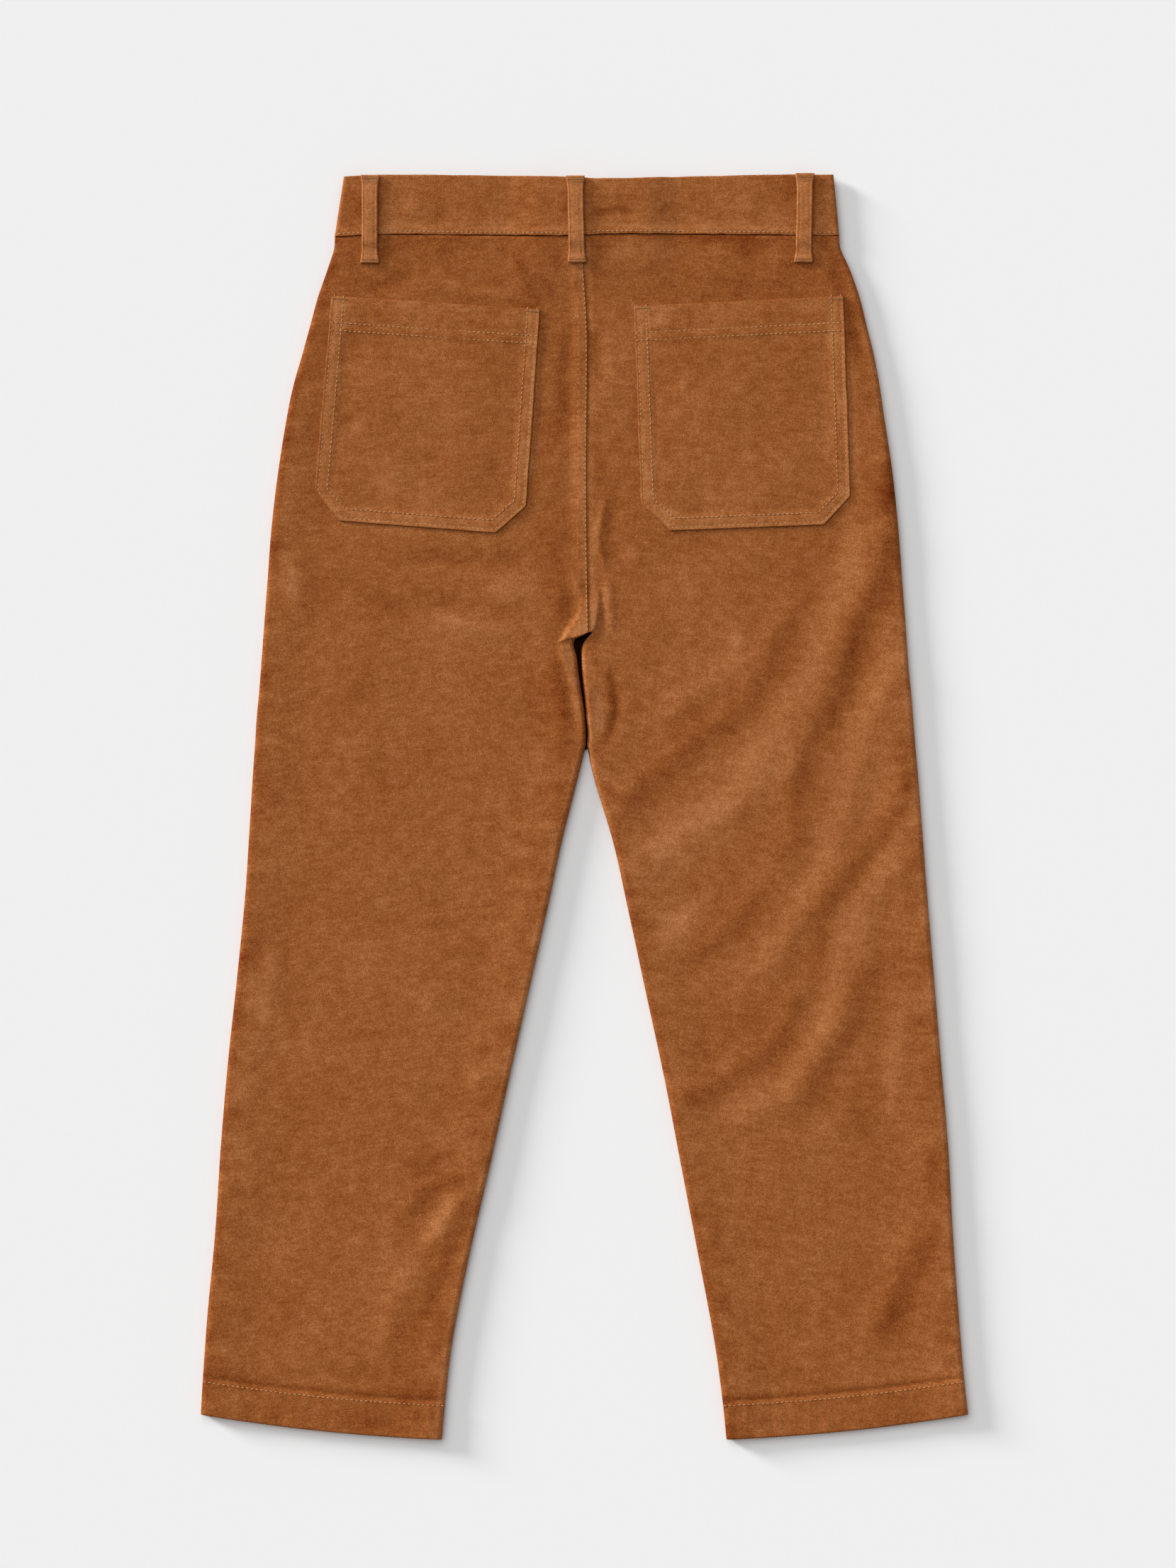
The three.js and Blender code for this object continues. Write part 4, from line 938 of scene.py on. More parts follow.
def front_layers(side):
    """Outer and inner surfaces of a front panel. It lies flat on the floor."""
    heights = (
        even(SEAT_TOP, CROTCH_Y, 4),
        even(CROTCH_Y - CROTCH_STEP, FRONT_CROTCH_Y + 0.3, 7),
        even(FRONT_CROTCH_Y - 0.3, 20, 3),
        even(14, HEM_LINE + 3, 7),
        even(HEM_LINE, HEM_END, 2.4),
    )
    rows = sections(side, np.concatenate(heights))
    rows["bends"] = 0.0
    y = rows["y"]
    middle = y > FRONT_CROTCH_Y
    closed_at = FRONT_SEAM_X + side * FRONT_SEAM_GAP / 2
    rows["inner"] = np.where(y > CROTCH_Y, front_end(side, y), np.where(middle, closed_at, rows["inner"]))
    width = width_of(rows)
    start, up, over = rolled_columns(width, np.full(width.shape, ROLL), FRONT_FINE, 8.0)
    thickness, _ = cloth_at(rows)
    x, py = along_section(rows, start)
    floor = floor_at(py)
    lap = FRONT_SEAM_X + FLY_LAP
    over_lap = 1 - ease(lap + 5, lap + 12, x)
    lift = FLY_LIFT * over_lap * ease(FLY_OPEN[0] - 17, FLY_OPEN[0] - 4, py) * (side > 0)
    seam = seam_height(y) - SEAM_GAP / 2
    rise = np.ones(start.shape)
    rise[:, :ROLL_UP] = np.sin(up)
    closed = ~middle
    rise[:, -ROLL_OVER:] = np.where(closed, np.cos(over * math.pi / 2), 1)
    outer = np.stack([x, py, seam + (floor + lift - seam) * rise], axis=-1)
    inward = start.copy()
    inward[:, :ROLL_UP] = ROLL - (ROLL - thickness) * np.cos(up)
    folded_in = width - ROLL + (ROLL - thickness) * np.sin(over * math.pi / 2)
    inward[:, -ROLL_OVER:] = np.where(closed, folded_in, start[:, -ROLL_OVER:])
    ix, iy = along_section(rows, inward)
    high = np.where(lift > 0, floor + lift + thickness, np.minimum(seam, floor + thickness))
    iz = seam + (high - seam) * rise
    inner = np.stack([ix, iy, np.maximum(iz, outer[..., 2] + 0.05)], axis=-1)
    return (inner, outer) if side < 0 else (inner[:, ::-1], outer[:, ::-1])


def grain(points, lean):
    """Places across and along the wales, in metres."""
    angle = math.radians(lean)
    x = points[..., 0] * MM
    y = points[..., 1] * MM
    across = x * math.cos(angle) - y * math.sin(angle)
    along = x * math.sin(angle) + y * math.cos(angle)
    return np.stack([across + 0.5, along + 0.5], axis=-1)


def wall(name, upper, lower, lean=0.0, shade=0.0, folds=FOLDS):
    """A closed piece of cloth between two grids of points in millimetres. The shade goes to both faces."""
    rows, columns = upper.shape[:2]
    number = np.arange(rows * columns).reshape(rows, columns)
    under = number + rows * columns
    a, b, c, d = number[:-1, :-1], number[1:, :-1], number[1:, 1:], number[:-1, 1:]
    e, f, g, h = under[:-1, :-1], under[1:, :-1], under[1:, 1:], under[:-1, 1:]
    rims = (
        (number[0, :-1], number[0, 1:], under[0, 1:], under[0, :-1]),
        (number[-1, 1:], number[-1, :-1], under[-1, :-1], under[-1, 1:]),
        (number[1:, 0], number[:-1, 0], under[:-1, 0], under[1:, 0]),
        (number[:-1, -1], number[1:, -1], under[1:, -1], under[:-1, -1]),
    )
    quads = [np.stack(q, axis=-1).reshape(-1, 4) for q in ((a, b, c, d), (e, h, g, f), *rims)]
    faces = np.concatenate(quads)
    points = np.concatenate([upper.reshape(-1, 3), lower.reshape(-1, 3)])
    mesh = bpy.data.meshes.new(name)
    mesh.from_pydata((points * MM).tolist(), [], faces.tolist())
    mesh.shade_smooth()
    uv = mesh.uv_layers.new(name="Grain")
    uv.data.foreach_set("uv", grain(points, lean)[faces.reshape(-1)].reshape(-1))
    # The attribute holds painted light and shade, with the cloth's own darker and lighter regions.
    painted_shading_and_nap = mesh.attributes.new("painted_shading_and_nap", "FLOAT", "POINT")
    levels = strokes(folds, SHADE, points[:, 0], points[:, 1])
    levels += np.tile(np.broadcast_to(shade, (rows, columns)).reshape(-1), 2)
    painted_shading_and_nap.data.foreach_set("value", levels.astype(np.float32))
    mesh.validate()
    made = bpy.data.objects.new(name, mesh)
    bpy.context.scene.collection.objects.link(made)
    return made


def linear(code):
    """An sRGB hex colour as linear red, green, blue and alpha."""
    parts = [int(code[i : i + 2], 16) / 255 for i in (1, 3, 5)]
    return tuple(c / 12.92 if c <= 0.04045 else ((c + 0.055) / 1.055) ** 2.4 for c in parts) + (1.0,)


def add(tree, kind, links=None, **settings):
    """Adds a node with its settings, and fills or links its inputs."""
    made = tree.nodes.new(kind)
    for key, value in settings.items():
        setattr(made, key, value)
    for key, value in (links or {}).items():
        if isinstance(value, bpy.types.NodeSocket):
            tree.links.new(value, made.inputs[key])
        else:
            made.inputs[key].default_value = value
    return made


def new_material(name, **values):
    """A material whose Principled BSDF has the given values, with its tree and shader."""
    made = bpy.data.materials.new(name)
    made.use_nodes = True
    shader = made.node_tree.nodes["Principled BSDF"]
    for key, value in values.items():
        shader.inputs[key.replace("_", " ")].default_value = value
    return made, made.node_tree, shader


# The pile in shade and in light, and the painted deep shade of the gap at the crotch, where no light gets in.
# The colour is wholly that painted shade at -50 grey levels and not at all at -30.
PILE_SHADE = "#6A2D0D"
PILE_LIGHT = "#BE8053"
PILE_GAP_SHADE = "#1A0A03"
GAP_SHADE_SLOPE = 0.05
GAP_SHADE_FROM = 2.5
# Share of the way from shade to light for each grey level of the attribute that carries painted light and
# shade, with the cloth's own tone
GREY_LEVEL_SHARE = 0.0135


def needlecord():
    """Cotton needlecord, cut-pile woven and garment dyed: matt, with a short pile that catches the light."""
    made, tree, shader = new_material(
        "cotton needlecord, cut pile",
        Roughness=0.95,
        Specular_IOR_Level=0.03,
        Sheen_Weight=0.03,
        Sheen_Roughness=0.5,
        Sheen_Tint=(0.8, 0.4, 0.2, 1),
    )
    cloth = bpy.context.scene.trousers_cloth
    uv = add(tree, "ShaderNodeUVMap", uv_map="Grain").outputs["UV"]
    # The attribute brings the painted light and shade, and the cloth's own tone, into the colour.
    painted_shading_and_nap = add(tree, "ShaderNodeAttribute", attribute_name="painted_shading_and_nap").outputs["Fac"]

    def noise(scale, detail=2.0, stretch=(1, 1, 1), rough=0.5, place=uv):
        moved = add(tree, "ShaderNodeMapping", {"Vector": place, "Scale": stretch})
        links = {"Vector": moved.outputs["Vector"], "Scale": scale, "Detail": detail, "Roughness": rough}
        return add(tree, "ShaderNodeTexNoise", links, noise_dimensions="2D").outputs["Fac"]

    def maths(operation, a, b, c=0.0):
        return add(tree, "ShaderNodeMath", {0: a, 1: b, 2: c}, operation=operation).outputs[0]

    # The wave texture's period is 2 pi / 20 at scale 1.
    cords = {"Vector": uv, "Scale": 2 * math.pi / 20 / cloth.wale, "Distortion": 2.5}
    cords.update({"Detail": 2.0, "Detail Scale": 0.6})
    wale = add(tree, "ShaderNodeTexWave", cords, bands_direction="X").outputs["Fac"]
    # The fibres of the pile are 0.02 mm thick, too fine to show, so they are drawn 0.8 mm across. Tufts,
    # weft, mottle and worn patches are drawn as large as they show on the cloth.
    fibres = noise(1 / (0.8 * MM), 2.0, rough=0.65)
    tufts = noise(1 / (2.2 * MM), 1.0)
    weft = noise(1 / (1.5 * MM), 1.0, (0.12, 1, 1))
    mottle = noise(1 / (8 * MM), 2.0, (1, 1.3, 1))
    worn = noise(1 / (40 * MM), 2.0)
    total = maths("MULTIPLY_ADD", wale, 0.02, 0.45)
    for source, share in ((fibres, 0.95), (tufts, 0.34), (weft, 0.18), (mottle, 0.34), (worn, 0.2)):
        total = maths("MULTIPLY_ADD", maths("SUBTRACT", source, 0.5), share, total)
    total = maths("MULTIPLY_ADD", painted_shading_and_nap, GREY_LEVEL_SHARE, total)
    colour = add(tree, "ShaderNodeValToRGB", {"Fac": total})
    stops = colour.color_ramp.elements
    stops[0].color = linear(PILE_SHADE)
    stops[1].color = linear(PILE_LIGHT)
    middle = stops.new(0.45)
    middle.color = (*cloth.colour, 1)
    lit = {0: painted_shading_and_nap, 1: GAP_SHADE_SLOPE, 2: GAP_SHADE_FROM}
    lit = add(tree, "ShaderNodeMath", lit, operation="MULTIPLY_ADD", use_clamp=True).outputs[0]
    ends = {0: lit, 6: linear(PILE_GAP_SHADE), 7: colour.outputs["Color"]}
    deep = add(tree, "ShaderNodeMix", ends, data_type="RGBA").outputs[2]
    tree.links.new(deep, shader.inputs["Base Color"])
    height = maths("MULTIPLY_ADD", wale, 0.08, maths("MULTIPLY", fibres, 0.6))
    height = maths("MULTIPLY_ADD", tufts, 0.4, height)
    bump = add(tree, "ShaderNodeBump", {"Strength": 0.4, "Distance": 0.3 * MM, "Height": height})
    tree.links.new(bump.outputs["Normal"], shader.inputs["Normal"])
    return made


def thread_finish():
    """Spun polyester topstitching thread: slightly lighter than the cloth, with a low twist sheen."""
    made, tree, shader = new_material(
        "spun polyester topstitching thread", Roughness=0.6, Sheen_Weight=0.15, Specular_IOR_Level=0.35
    )
    place = add(tree, "ShaderNodeTexCoord").outputs["Object"]
    # The plies lie 0.4 mm apart along the thread.
    twist = {"Vector": place, "Scale": 2.6 / MM, "Detail": 1.0}
    plies = add(tree, "ShaderNodeTexNoise", twist).outputs["Fac"]
    ramp = add(tree, "ShaderNodeValToRGB", {"Fac": plies})
    ramp.color_ramp.elements[0].position = 0.3
    ramp.color_ramp.elements[0].color = linear("#96602F")
    ramp.color_ramp.elements[1].position = 0.7
    ramp.color_ramp.elements[1].color = linear("#CD9A66")
    tree.links.new(ramp.outputs["Color"], shader.inputs["Base Color"])
    bump = add(tree, "ShaderNodeBump", {"Strength": 0.4, "Distance": 0.1 * MM, "Height": plies})
    tree.links.new(bump.outputs["Normal"], shader.inputs["Normal"])
    return made


def hole_finish():
    """Painted shade in the needle holes: the cloth's own dye, darkened as shade, and matt."""
    made, tree, shader = new_material("needle hole painted shade", Roughness=1.0, Specular_IOR_Level=0.05)
    place = add(tree, "ShaderNodeTexCoord").outputs["Object"]
    # The painted hole shade is uneven over about 0.7 mm.
    worn = add(tree, "ShaderNodeTexNoise", {"Vector": place, "Scale": 1.5 / MM}).outputs["Fac"]
    ramp = add(tree, "ShaderNodeValToRGB", {"Fac": worn})
    ramp.color_ramp.elements[0].color = linear("#5E2F12")
    ramp.color_ramp.elements[1].color = linear("#7A4018")
    tree.links.new(ramp.outputs["Color"], shader.inputs["Base Color"])
    return made


def button_finish():
    """Cast polyester button, tumbled to a satin gloss: dark brown with faint horn-like clouds."""
    made, tree, shader = new_material("cast polyester button, satin", Roughness=0.38, Coat_Weight=0.15)
    place = add(tree, "ShaderNodeTexCoord").outputs["Object"]
    # The clouds are about 4 mm across.
    cloud = add(
        tree, "ShaderNodeTexNoise", {"Vector": place, "Scale": 0.26 / MM, "Detail": 3.0, "Distortion": 1.2}
    ).outputs["Fac"]
    ramp = add(tree, "ShaderNodeValToRGB", {"Fac": cloud})
    ramp.color_ramp.elements[0].position = 0.35
    ramp.color_ramp.elements[0].color = linear("#2E1A0E")
    ramp.color_ramp.elements[1].position = 0.75
    ramp.color_ramp.elements[1].color = linear("#6B452A")
    tree.links.new(ramp.outputs["Color"], shader.inputs["Base Color"])
    return made


# Finishes already made, and the lines that pieces give to the stitching
MADE = {}
LINES = {"rows": [], "tacks": []}


def finish_named(maker):
    """A finish that several pieces share, made once."""
    if maker.__name__ not in MADE:
        MADE[maker.__name__] = maker()
    return MADE[maker.__name__]


def settle(piece, maker, slot, *nodes):
    """Gives a piece its finish, hangs it on the frame's root and hides the imported parts that it stands for.
    """
    piece.data.materials.clear()
    piece.data.materials.append(finish_named(maker))
    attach(piece, "root")
    if nodes:
        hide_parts(*nodes)


def lip(distance, radius):
    """Rounding of an edge: 0 at the edge and 1 past the radius."""
    t = np.clip(distance / radius, 0, 1)
    return np.sqrt(1 - (1 - t) ** 2)


def stitch_row(points):
    """Keeps a line for the stitching."""
    LINES["rows"].append(np.asarray(points, dtype=float))


def tack(start, end, z, width=1.0):
    """A bar of close zigzag stitches from one point to another."""
    start = np.array(start, dtype=float)
    end = np.array(end, dtype=float)
    length = np.linalg.norm(end - start)
    across = np.array([-(end - start)[1], (end - start)[0]]) / length
    count = max(4, round(length / 0.42))
    t = np.linspace(0, 1, count)
    swing = np.where(np.arange(count) % 2, 0.5, -0.5) * width
    xy = start + np.outer(t, end - start) + np.outer(swing, across)
    LINES["tacks"].append(np.column_stack([xy, np.full(count, z)]))


class TROUSERS_OT_back_panels(bpy.types.Operator):
    """Make the two back panels with their creases, felled seat seam, crotch fold and hems."""

    bl_idname = "trousers.back_panels"
    bl_label = "Back panels"

    def execute(self, context):
        for side, word in ((-1, "left"), (1, "right")):
            upper, lower, shade = back_layers(side)
            piece = wall(f"back_{word}", upper, lower, GRAIN[side], shade)
            settle(piece, needlecord, "corduroy", f"back_panel_{word}")
            rows = sections(side, [HEM_STITCHES])
            reach = width_of(rows)[0, 0]
            start = np.linspace(1.6, reach - 1.2, 80)[None, :]
            x, y, crown, _ = back_point(rows, start, side)
            stitch_row(np.column_stack([x[0], y[0], crown[0] + 0.06]))
        rows = sections(-1, np.linspace(*FELL_ROWS_SPAN, 160))
        for from_seam, lift in FELL_ROWS:
            x, y, crown, extra = back_point(rows, width_of(rows) - from_seam, -1)
            stitch_row(np.column_stack([x[:, 0], y[:, 0], (crown + extra)[:, 0] + lift]))
        return {"FINISHED"}


class TROUSERS_OT_front_panels(bpy.types.Operator):
    """Make the two front panels, flat on the floor, with the lapped fly."""

    bl_idname = "trousers.front_panels"
    bl_label = "Front panels"

    def execute(self, context):
        for side, word in ((-1, "left"), (1, "right")):
            upper, lower = front_layers(side)
            height = upper[..., 1]
            # The part under the gap at the crotch is painted deep shade.
            in_gap = (height < CROTCH_Y + GAP["above"]) & (height > FRONT_CROTCH_Y - GAP["below"])
            in_gap = in_gap & (np.abs(upper[..., 0]) < GAP["across"])
            shade = np.where(in_gap, IN_GAP_SHADE, FRONT_SHADE)
            piece = wall(f"front_{word}", upper, lower, GRAIN[side], shade)
            settle(piece, needlecord, "corduroy", f"front_panel_{word}")
        return {"FINISHED"}


class TROUSERS_OT_waistband(bpy.types.Operator):
    """Make the waistband: the back, and the two fronts that lap under the button."""

    bl_idname = "trousers.waistband"
    bl_label = "Waistband"

    def execute(self, context):
        self.back()
        self.front("left", BAND_SIDE_TOP[0], BAND_LAP_END)
        self.front("right", BAND_UNDER_END, BAND_SIDE_TOP[1])
        return {"FINISHED"}

    def back(self):
        roll = (WAIST_TOP - WAIST_LIFT) / 2
        middle = (WAIST_TOP + WAIST_LIFT) / 2 + SEAM_GAP / 2
        share = graded(BAND_DEPTH, 1.3)[::-1, None] / BAND_DEPTH
        up = np.linspace(0, math.pi / 2, BAND_ROLL_UP)
        left = BAND["x"][0] + (BAND_SIDE_TOP[0] - BAND["x"][0]) * share
        right = BAND["x"][-1] + (BAND_SIDE_TOP[1] - BAND["x"][-1]) * share
        rolled = roll * (1 - np.cos(up))
        body = np.linspace(0, 1, 240)[1:-1]
        between = left + roll + (right - left - 2 * roll) * body
        x = np.concatenate([left + rolled, between, right - rolled[::-1]], axis=1)
        rise = np.concatenate([np.sin(up), np.ones(len(body)), np.sin(up[::-1])])
        bottom = band_bottom(x) + 0.25 * soft_noise(x, 0 * x, 5, 31)
        top = band_top(x) + 0.15 * soft_noise(x, 0 * x, 7, 33)
        y = bottom + (top - bottom) * share
        above = y - bottom
        crown = WAIST_TOP + BAND_LIFT * hump(x)
        crown = crown + 0.25 * soft_noise(x, y, 34, 41) + 0.16 * soft_noise(x, y, 13, 43)
        crown = crown + 0.4 * (1 - ease(2.0, 5.0, above)) - 0.22 * bell(above - 1.7, 0.7)
        crown = crown + strokes(BAND_FOLDS, RISE, x, y)
        crown = crown + 0.12 * (1 - ease(1, 9, above)) * soft_noise(x * 2.4, y, 6, 47)
        edges = np.minimum(lip(above + 0.02, 0.5), lip(top - y + 0.02, 1.2))
        z = middle + (crown - 0.9 * (1 - edges) - middle) * rise
        upper = np.stack([x, y, z], axis=-1)
        ix = x.copy()
        ix[:, :BAND_ROLL_UP] = left + roll - (roll - BAND_CLOTH) * np.cos(up)
        ix[:, -BAND_ROLL_UP:] = right - roll + (roll - BAND_CLOTH) * np.cos(up[::-1])
        under = WAIST_TOP + BAND_LIFT * hump(x) - BAND_CLOTH
        lower = np.stack([ix, y, middle + (np.maximum(under, middle) - middle) * rise], axis=-1)
        lower[..., 2] = np.minimum(lower[..., 2], z - 0.05)
        # A little lighter overall and just above the lower edge, with painted shade along the very edge where
        # it meets the seat
        shade = 1.0 + 6.0 * bell(above - 3.5, 3.5) - 14.0 * bell(above, 0.4)
        piece = wall("waistband_back_cloth", upper, lower, 0.0, shade, BAND_FOLDS)
        settle(piece, needlecord, "corduroy", "waistband_back")
        line = np.linspace(*BAND_ROW_ENDS, 200)
        height = WAIST_TOP + BAND_LIFT * hump(line) + 0.32
        stitch_row(np.column_stack([line, band_bottom(line) + 1.7, height]))

    def front(self, word, start, end):
        share = graded(BAND_DEPTH, 4.0)[::-1, None] / BAND_DEPTH
        low = start if word == "left" else end
        edge = BAND["x"][0] if word == "left" else BAND["x"][-1]
        side = edge + (low - edge) * share
        roll = (WAIST_TOP - WAIST_LIFT) / 2
        middle = (WAIST_TOP + WAIST_LIFT) / 2 - SEAM_GAP / 2
        up = np.linspace(0, math.pi / 2, BAND_ROLL_UP)
        inner_end = end if word == "left" else start
        toward = 1 if word == "left" else -1
        rolled = side + toward * roll * (1 - np.cos(up))
        body = np.linspace(0, 1, 44)[1:]
        x = np.concatenate([rolled, side + toward * roll + (inner_end - side - toward * roll) * body], axis=1)
        rise = np.concatenate([np.sin(up), np.ones(len(body))])
        y = band_bottom(x) + (band_top(x) - band_bottom(x)) * share
        floor = np.full(x.shape, WAIST_LIFT)
        if word == "right":
            floor = floor + BAND_LIFT * (1 - ease(17, 30, x))
        outer_z = middle + (floor - middle) * rise
        ix = x.copy()
        ix[:, :BAND_ROLL_UP] = side + toward * (roll - (roll - BAND_CLOTH) * np.cos(up))
        high = np.minimum(floor + BAND_CLOTH, np.where(floor > WAIST_LIFT + 0.01, 99, middle))
        inner_z = np.maximum(middle + (high - middle) * rise, outer_z + 0.05)
        upper = np.stack([ix, y, inner_z], axis=-1)
        lower = np.stack([x, y, outer_z], axis=-1)
        if word == "right":
            upper = upper[:, ::-1]
            lower = lower[:, ::-1]
        piece = wall(f"waistband_front_{word}_cloth", upper, lower, 0.0, BAND_FRONT_SHADE, BAND_FOLDS)
        settle(piece, needlecord, "corduroy", f"waistband_front_{word}")


def pocket_outline(corners, cut):
    """The six corners of a pocket whose lower corners are cut off."""
    tl, tr, br, bl = (np.array(p) for p in corners)

    def toward(a, b, length):
        return a + (b - a) * length / np.linalg.norm(b - a)

    return [
        tl,
        tr,
        toward(br, tr, cut[1]),
        toward(br, bl, cut[1]),
        toward(bl, br, cut[0]),
        toward(bl, tl, cut[0]),
    ]


def cross(a, b):
    """Cross product of two directions in the plane."""
    return a[0] * b[1] - a[1] * b[0]


def inset(points, amount):
    """An open outline moved inwards, its corners kept sharp. The points run clockwise."""
    points = [np.asarray(p, dtype=float) for p in points]
    lines = []
    for a, b in zip(points[:-1], points[1:]):
        d = (b - a) / np.linalg.norm(b - a)
        normal = np.array([d[1], -d[0]])
        lines.append((a + normal * amount, d))
    made = [lines[0][0]]
    for (p, d), (q, e) in zip(lines[:-1], lines[1:]):
        t = cross(q - p, e) / cross(d, e)
        made.append(p + d * t)
    p, d = lines[-1]
    made.append(p + d * np.dot(points[-1] - p, d))
    return made


def dense(points, step):
    """Points along straight lines between corners, step apart."""
    made = []
    for a, b in zip(points[:-1], points[1:]):
        count = max(2, math.ceil(np.linalg.norm(np.subtract(b, a)) / step))
        made.extend(np.linspace(a, b, count)[:-1])
    return np.array([*made, points[-1]])


class TROUSERS_OT_patch_pockets(bpy.types.Operator):
    """Make the two patch pockets, with turned edges, a hemmed mouth and twin rows of stitching."""

    bl_idname = "trousers.patch_pockets"
    bl_label = "Patch pockets"

    def execute(self, context):
        for side, word in ((-1, "left"), (1, "right")):
            self.pocket(side, word)
        return {"FINISHED"}

    def seat(self, side, x, y):
        """Height of the panel that the pocket lies on."""
        edge = curve(SEAT, "left" if side < 0 else "right", y)
        return back_level(x, y, np.abs(edge - x) - ROLL) + relief(x, y)

    def pocket(self, side, word):
        corners = POCKETS[word]["corners"]
        cut = POCKETS[word]["cut"]
        tl, tr, br, bl = (np.array(p) for p in corners)
        height = tl[1] - bl[1]
        width = tr[0] - tl[0]
        b = graded(height, 1.35)[:, None] / height
        a = graded(width, 1.35)[None, :] / width
        past = np.maximum(0, b * height - (height - max(cut)))
        left = cut[0] * past / max(cut) / width
        right = cut[1] * past / max(cut) / width
        a = left + a * (1 - left - right)
        top = tl[:, None, None] + (tr - tl)[:, None, None] * a
        base = bl[:, None, None] + (br - bl)[:, None, None] * a
        x, y = top + (base - top) * b
        wander = 0.26 * soft_noise(x, y, 11, 61) + 0.18 * soft_noise(x, y, 4, 63)
        outline = pocket_outline(corners, cut)
        inside = along_line([*outline, outline[0]], x, y)[0]
        down = along_line([outline[0], outline[1]], x, y)[0]
        sides = along_line([*outline[1:], outline[0]], x, y)[0]
        x = x + wander * (inside < 0.3)
        under = self.seat(side, x, y) + POCKET_LIFT
        thick = POCKET_CLOTH * (0.3 + 0.7 * lip(inside + 0.02, 0.5))
        thick = thick + 0.5 * (1 - ease(POCKET_HEM - 0.8, POCKET_HEM + 0.6, down))
        rim = 1 - ease(INNER_ROW + 0.6, INNER_ROW + 2.4, sides)
        thick = thick + 0.4 * rim * ease(POCKET_HEM - 2, POCKET_HEM, down)
        for place in (EDGE_ROW, INNER_ROW):
            thick = thick - 0.2 * bell(sides - place, 0.75)
        for place in POCKET_ROWS:
            thick = thick - 0.2 * bell(down - place, 0.8) * ease(0, 2, inside)
        belly = 0.5 * ease(0, 40, inside) + 0.25 * soft_noise(x, y, 24, 67) * ease(4, 16, inside)
        pucker = 0.14 * soft_noise(x, y, 4.5, 71) * (1 - ease(8, 20, inside)) * ease(1, 3, inside)
        upper = np.stack([x, y, under + thick + belly + pucker], axis=-1)
        lower = np.stack([x, y, under + 0 * x], axis=-1)
        # Lighter rims along the stitching and under the mouth, and a thin painted shadow line round the very
        # edge
        shade = 8.0 * rim + 5.0 * bell(down, 6.0) - 14.0 * bell(inside, 0.35)
        piece = wall(f"patch_pocket_{word}_cloth", upper, lower, GRAIN[side] * 0.4, shade)
        settle(piece, needlecord, "corduroy", f"patch_pocket_{word}")
        self.stitches(side, outline)

    def stitches(self, side, outline):
        def lay(points, lift):
            line = dense(points, 3.0)
            z = self.seat(side, line[:, 0], line[:, 1]) + POCKET_LIFT + POCKET_CLOTH + lift
            stitch_row(np.column_stack([line, z]))

        ring = [*outline[1:], outline[0]]
        lay(inset(ring, EDGE_ROW), 0.12)
        lay(inset(ring, INNER_ROW), 0.46)
        top = [outline[0], outline[1]]
        for place in POCKET_ROWS:
            line = inset(top, place)
            direction = (line[1] - line[0]) / np.linalg.norm(line[1] - line[0])
            lay([line[0] + direction * 1.2, line[1] - direction * 1.2], 0.5)
        for corner, sign in ((outline[0], 1), (outline[1], -1)):
            direction = (outline[1] - outline[0]) / np.linalg.norm(outline[1] - outline[0]) * sign
            drop = np.array([0, -1.5])
            start = corner + drop + direction * 0.8
            end = corner + drop + direction * 9.0
            z = float(self.seat(side, start[0], start[1])) + POCKET_LIFT + POCKET_CLOTH + 0.62
            tack(start, end, z, 0.7)


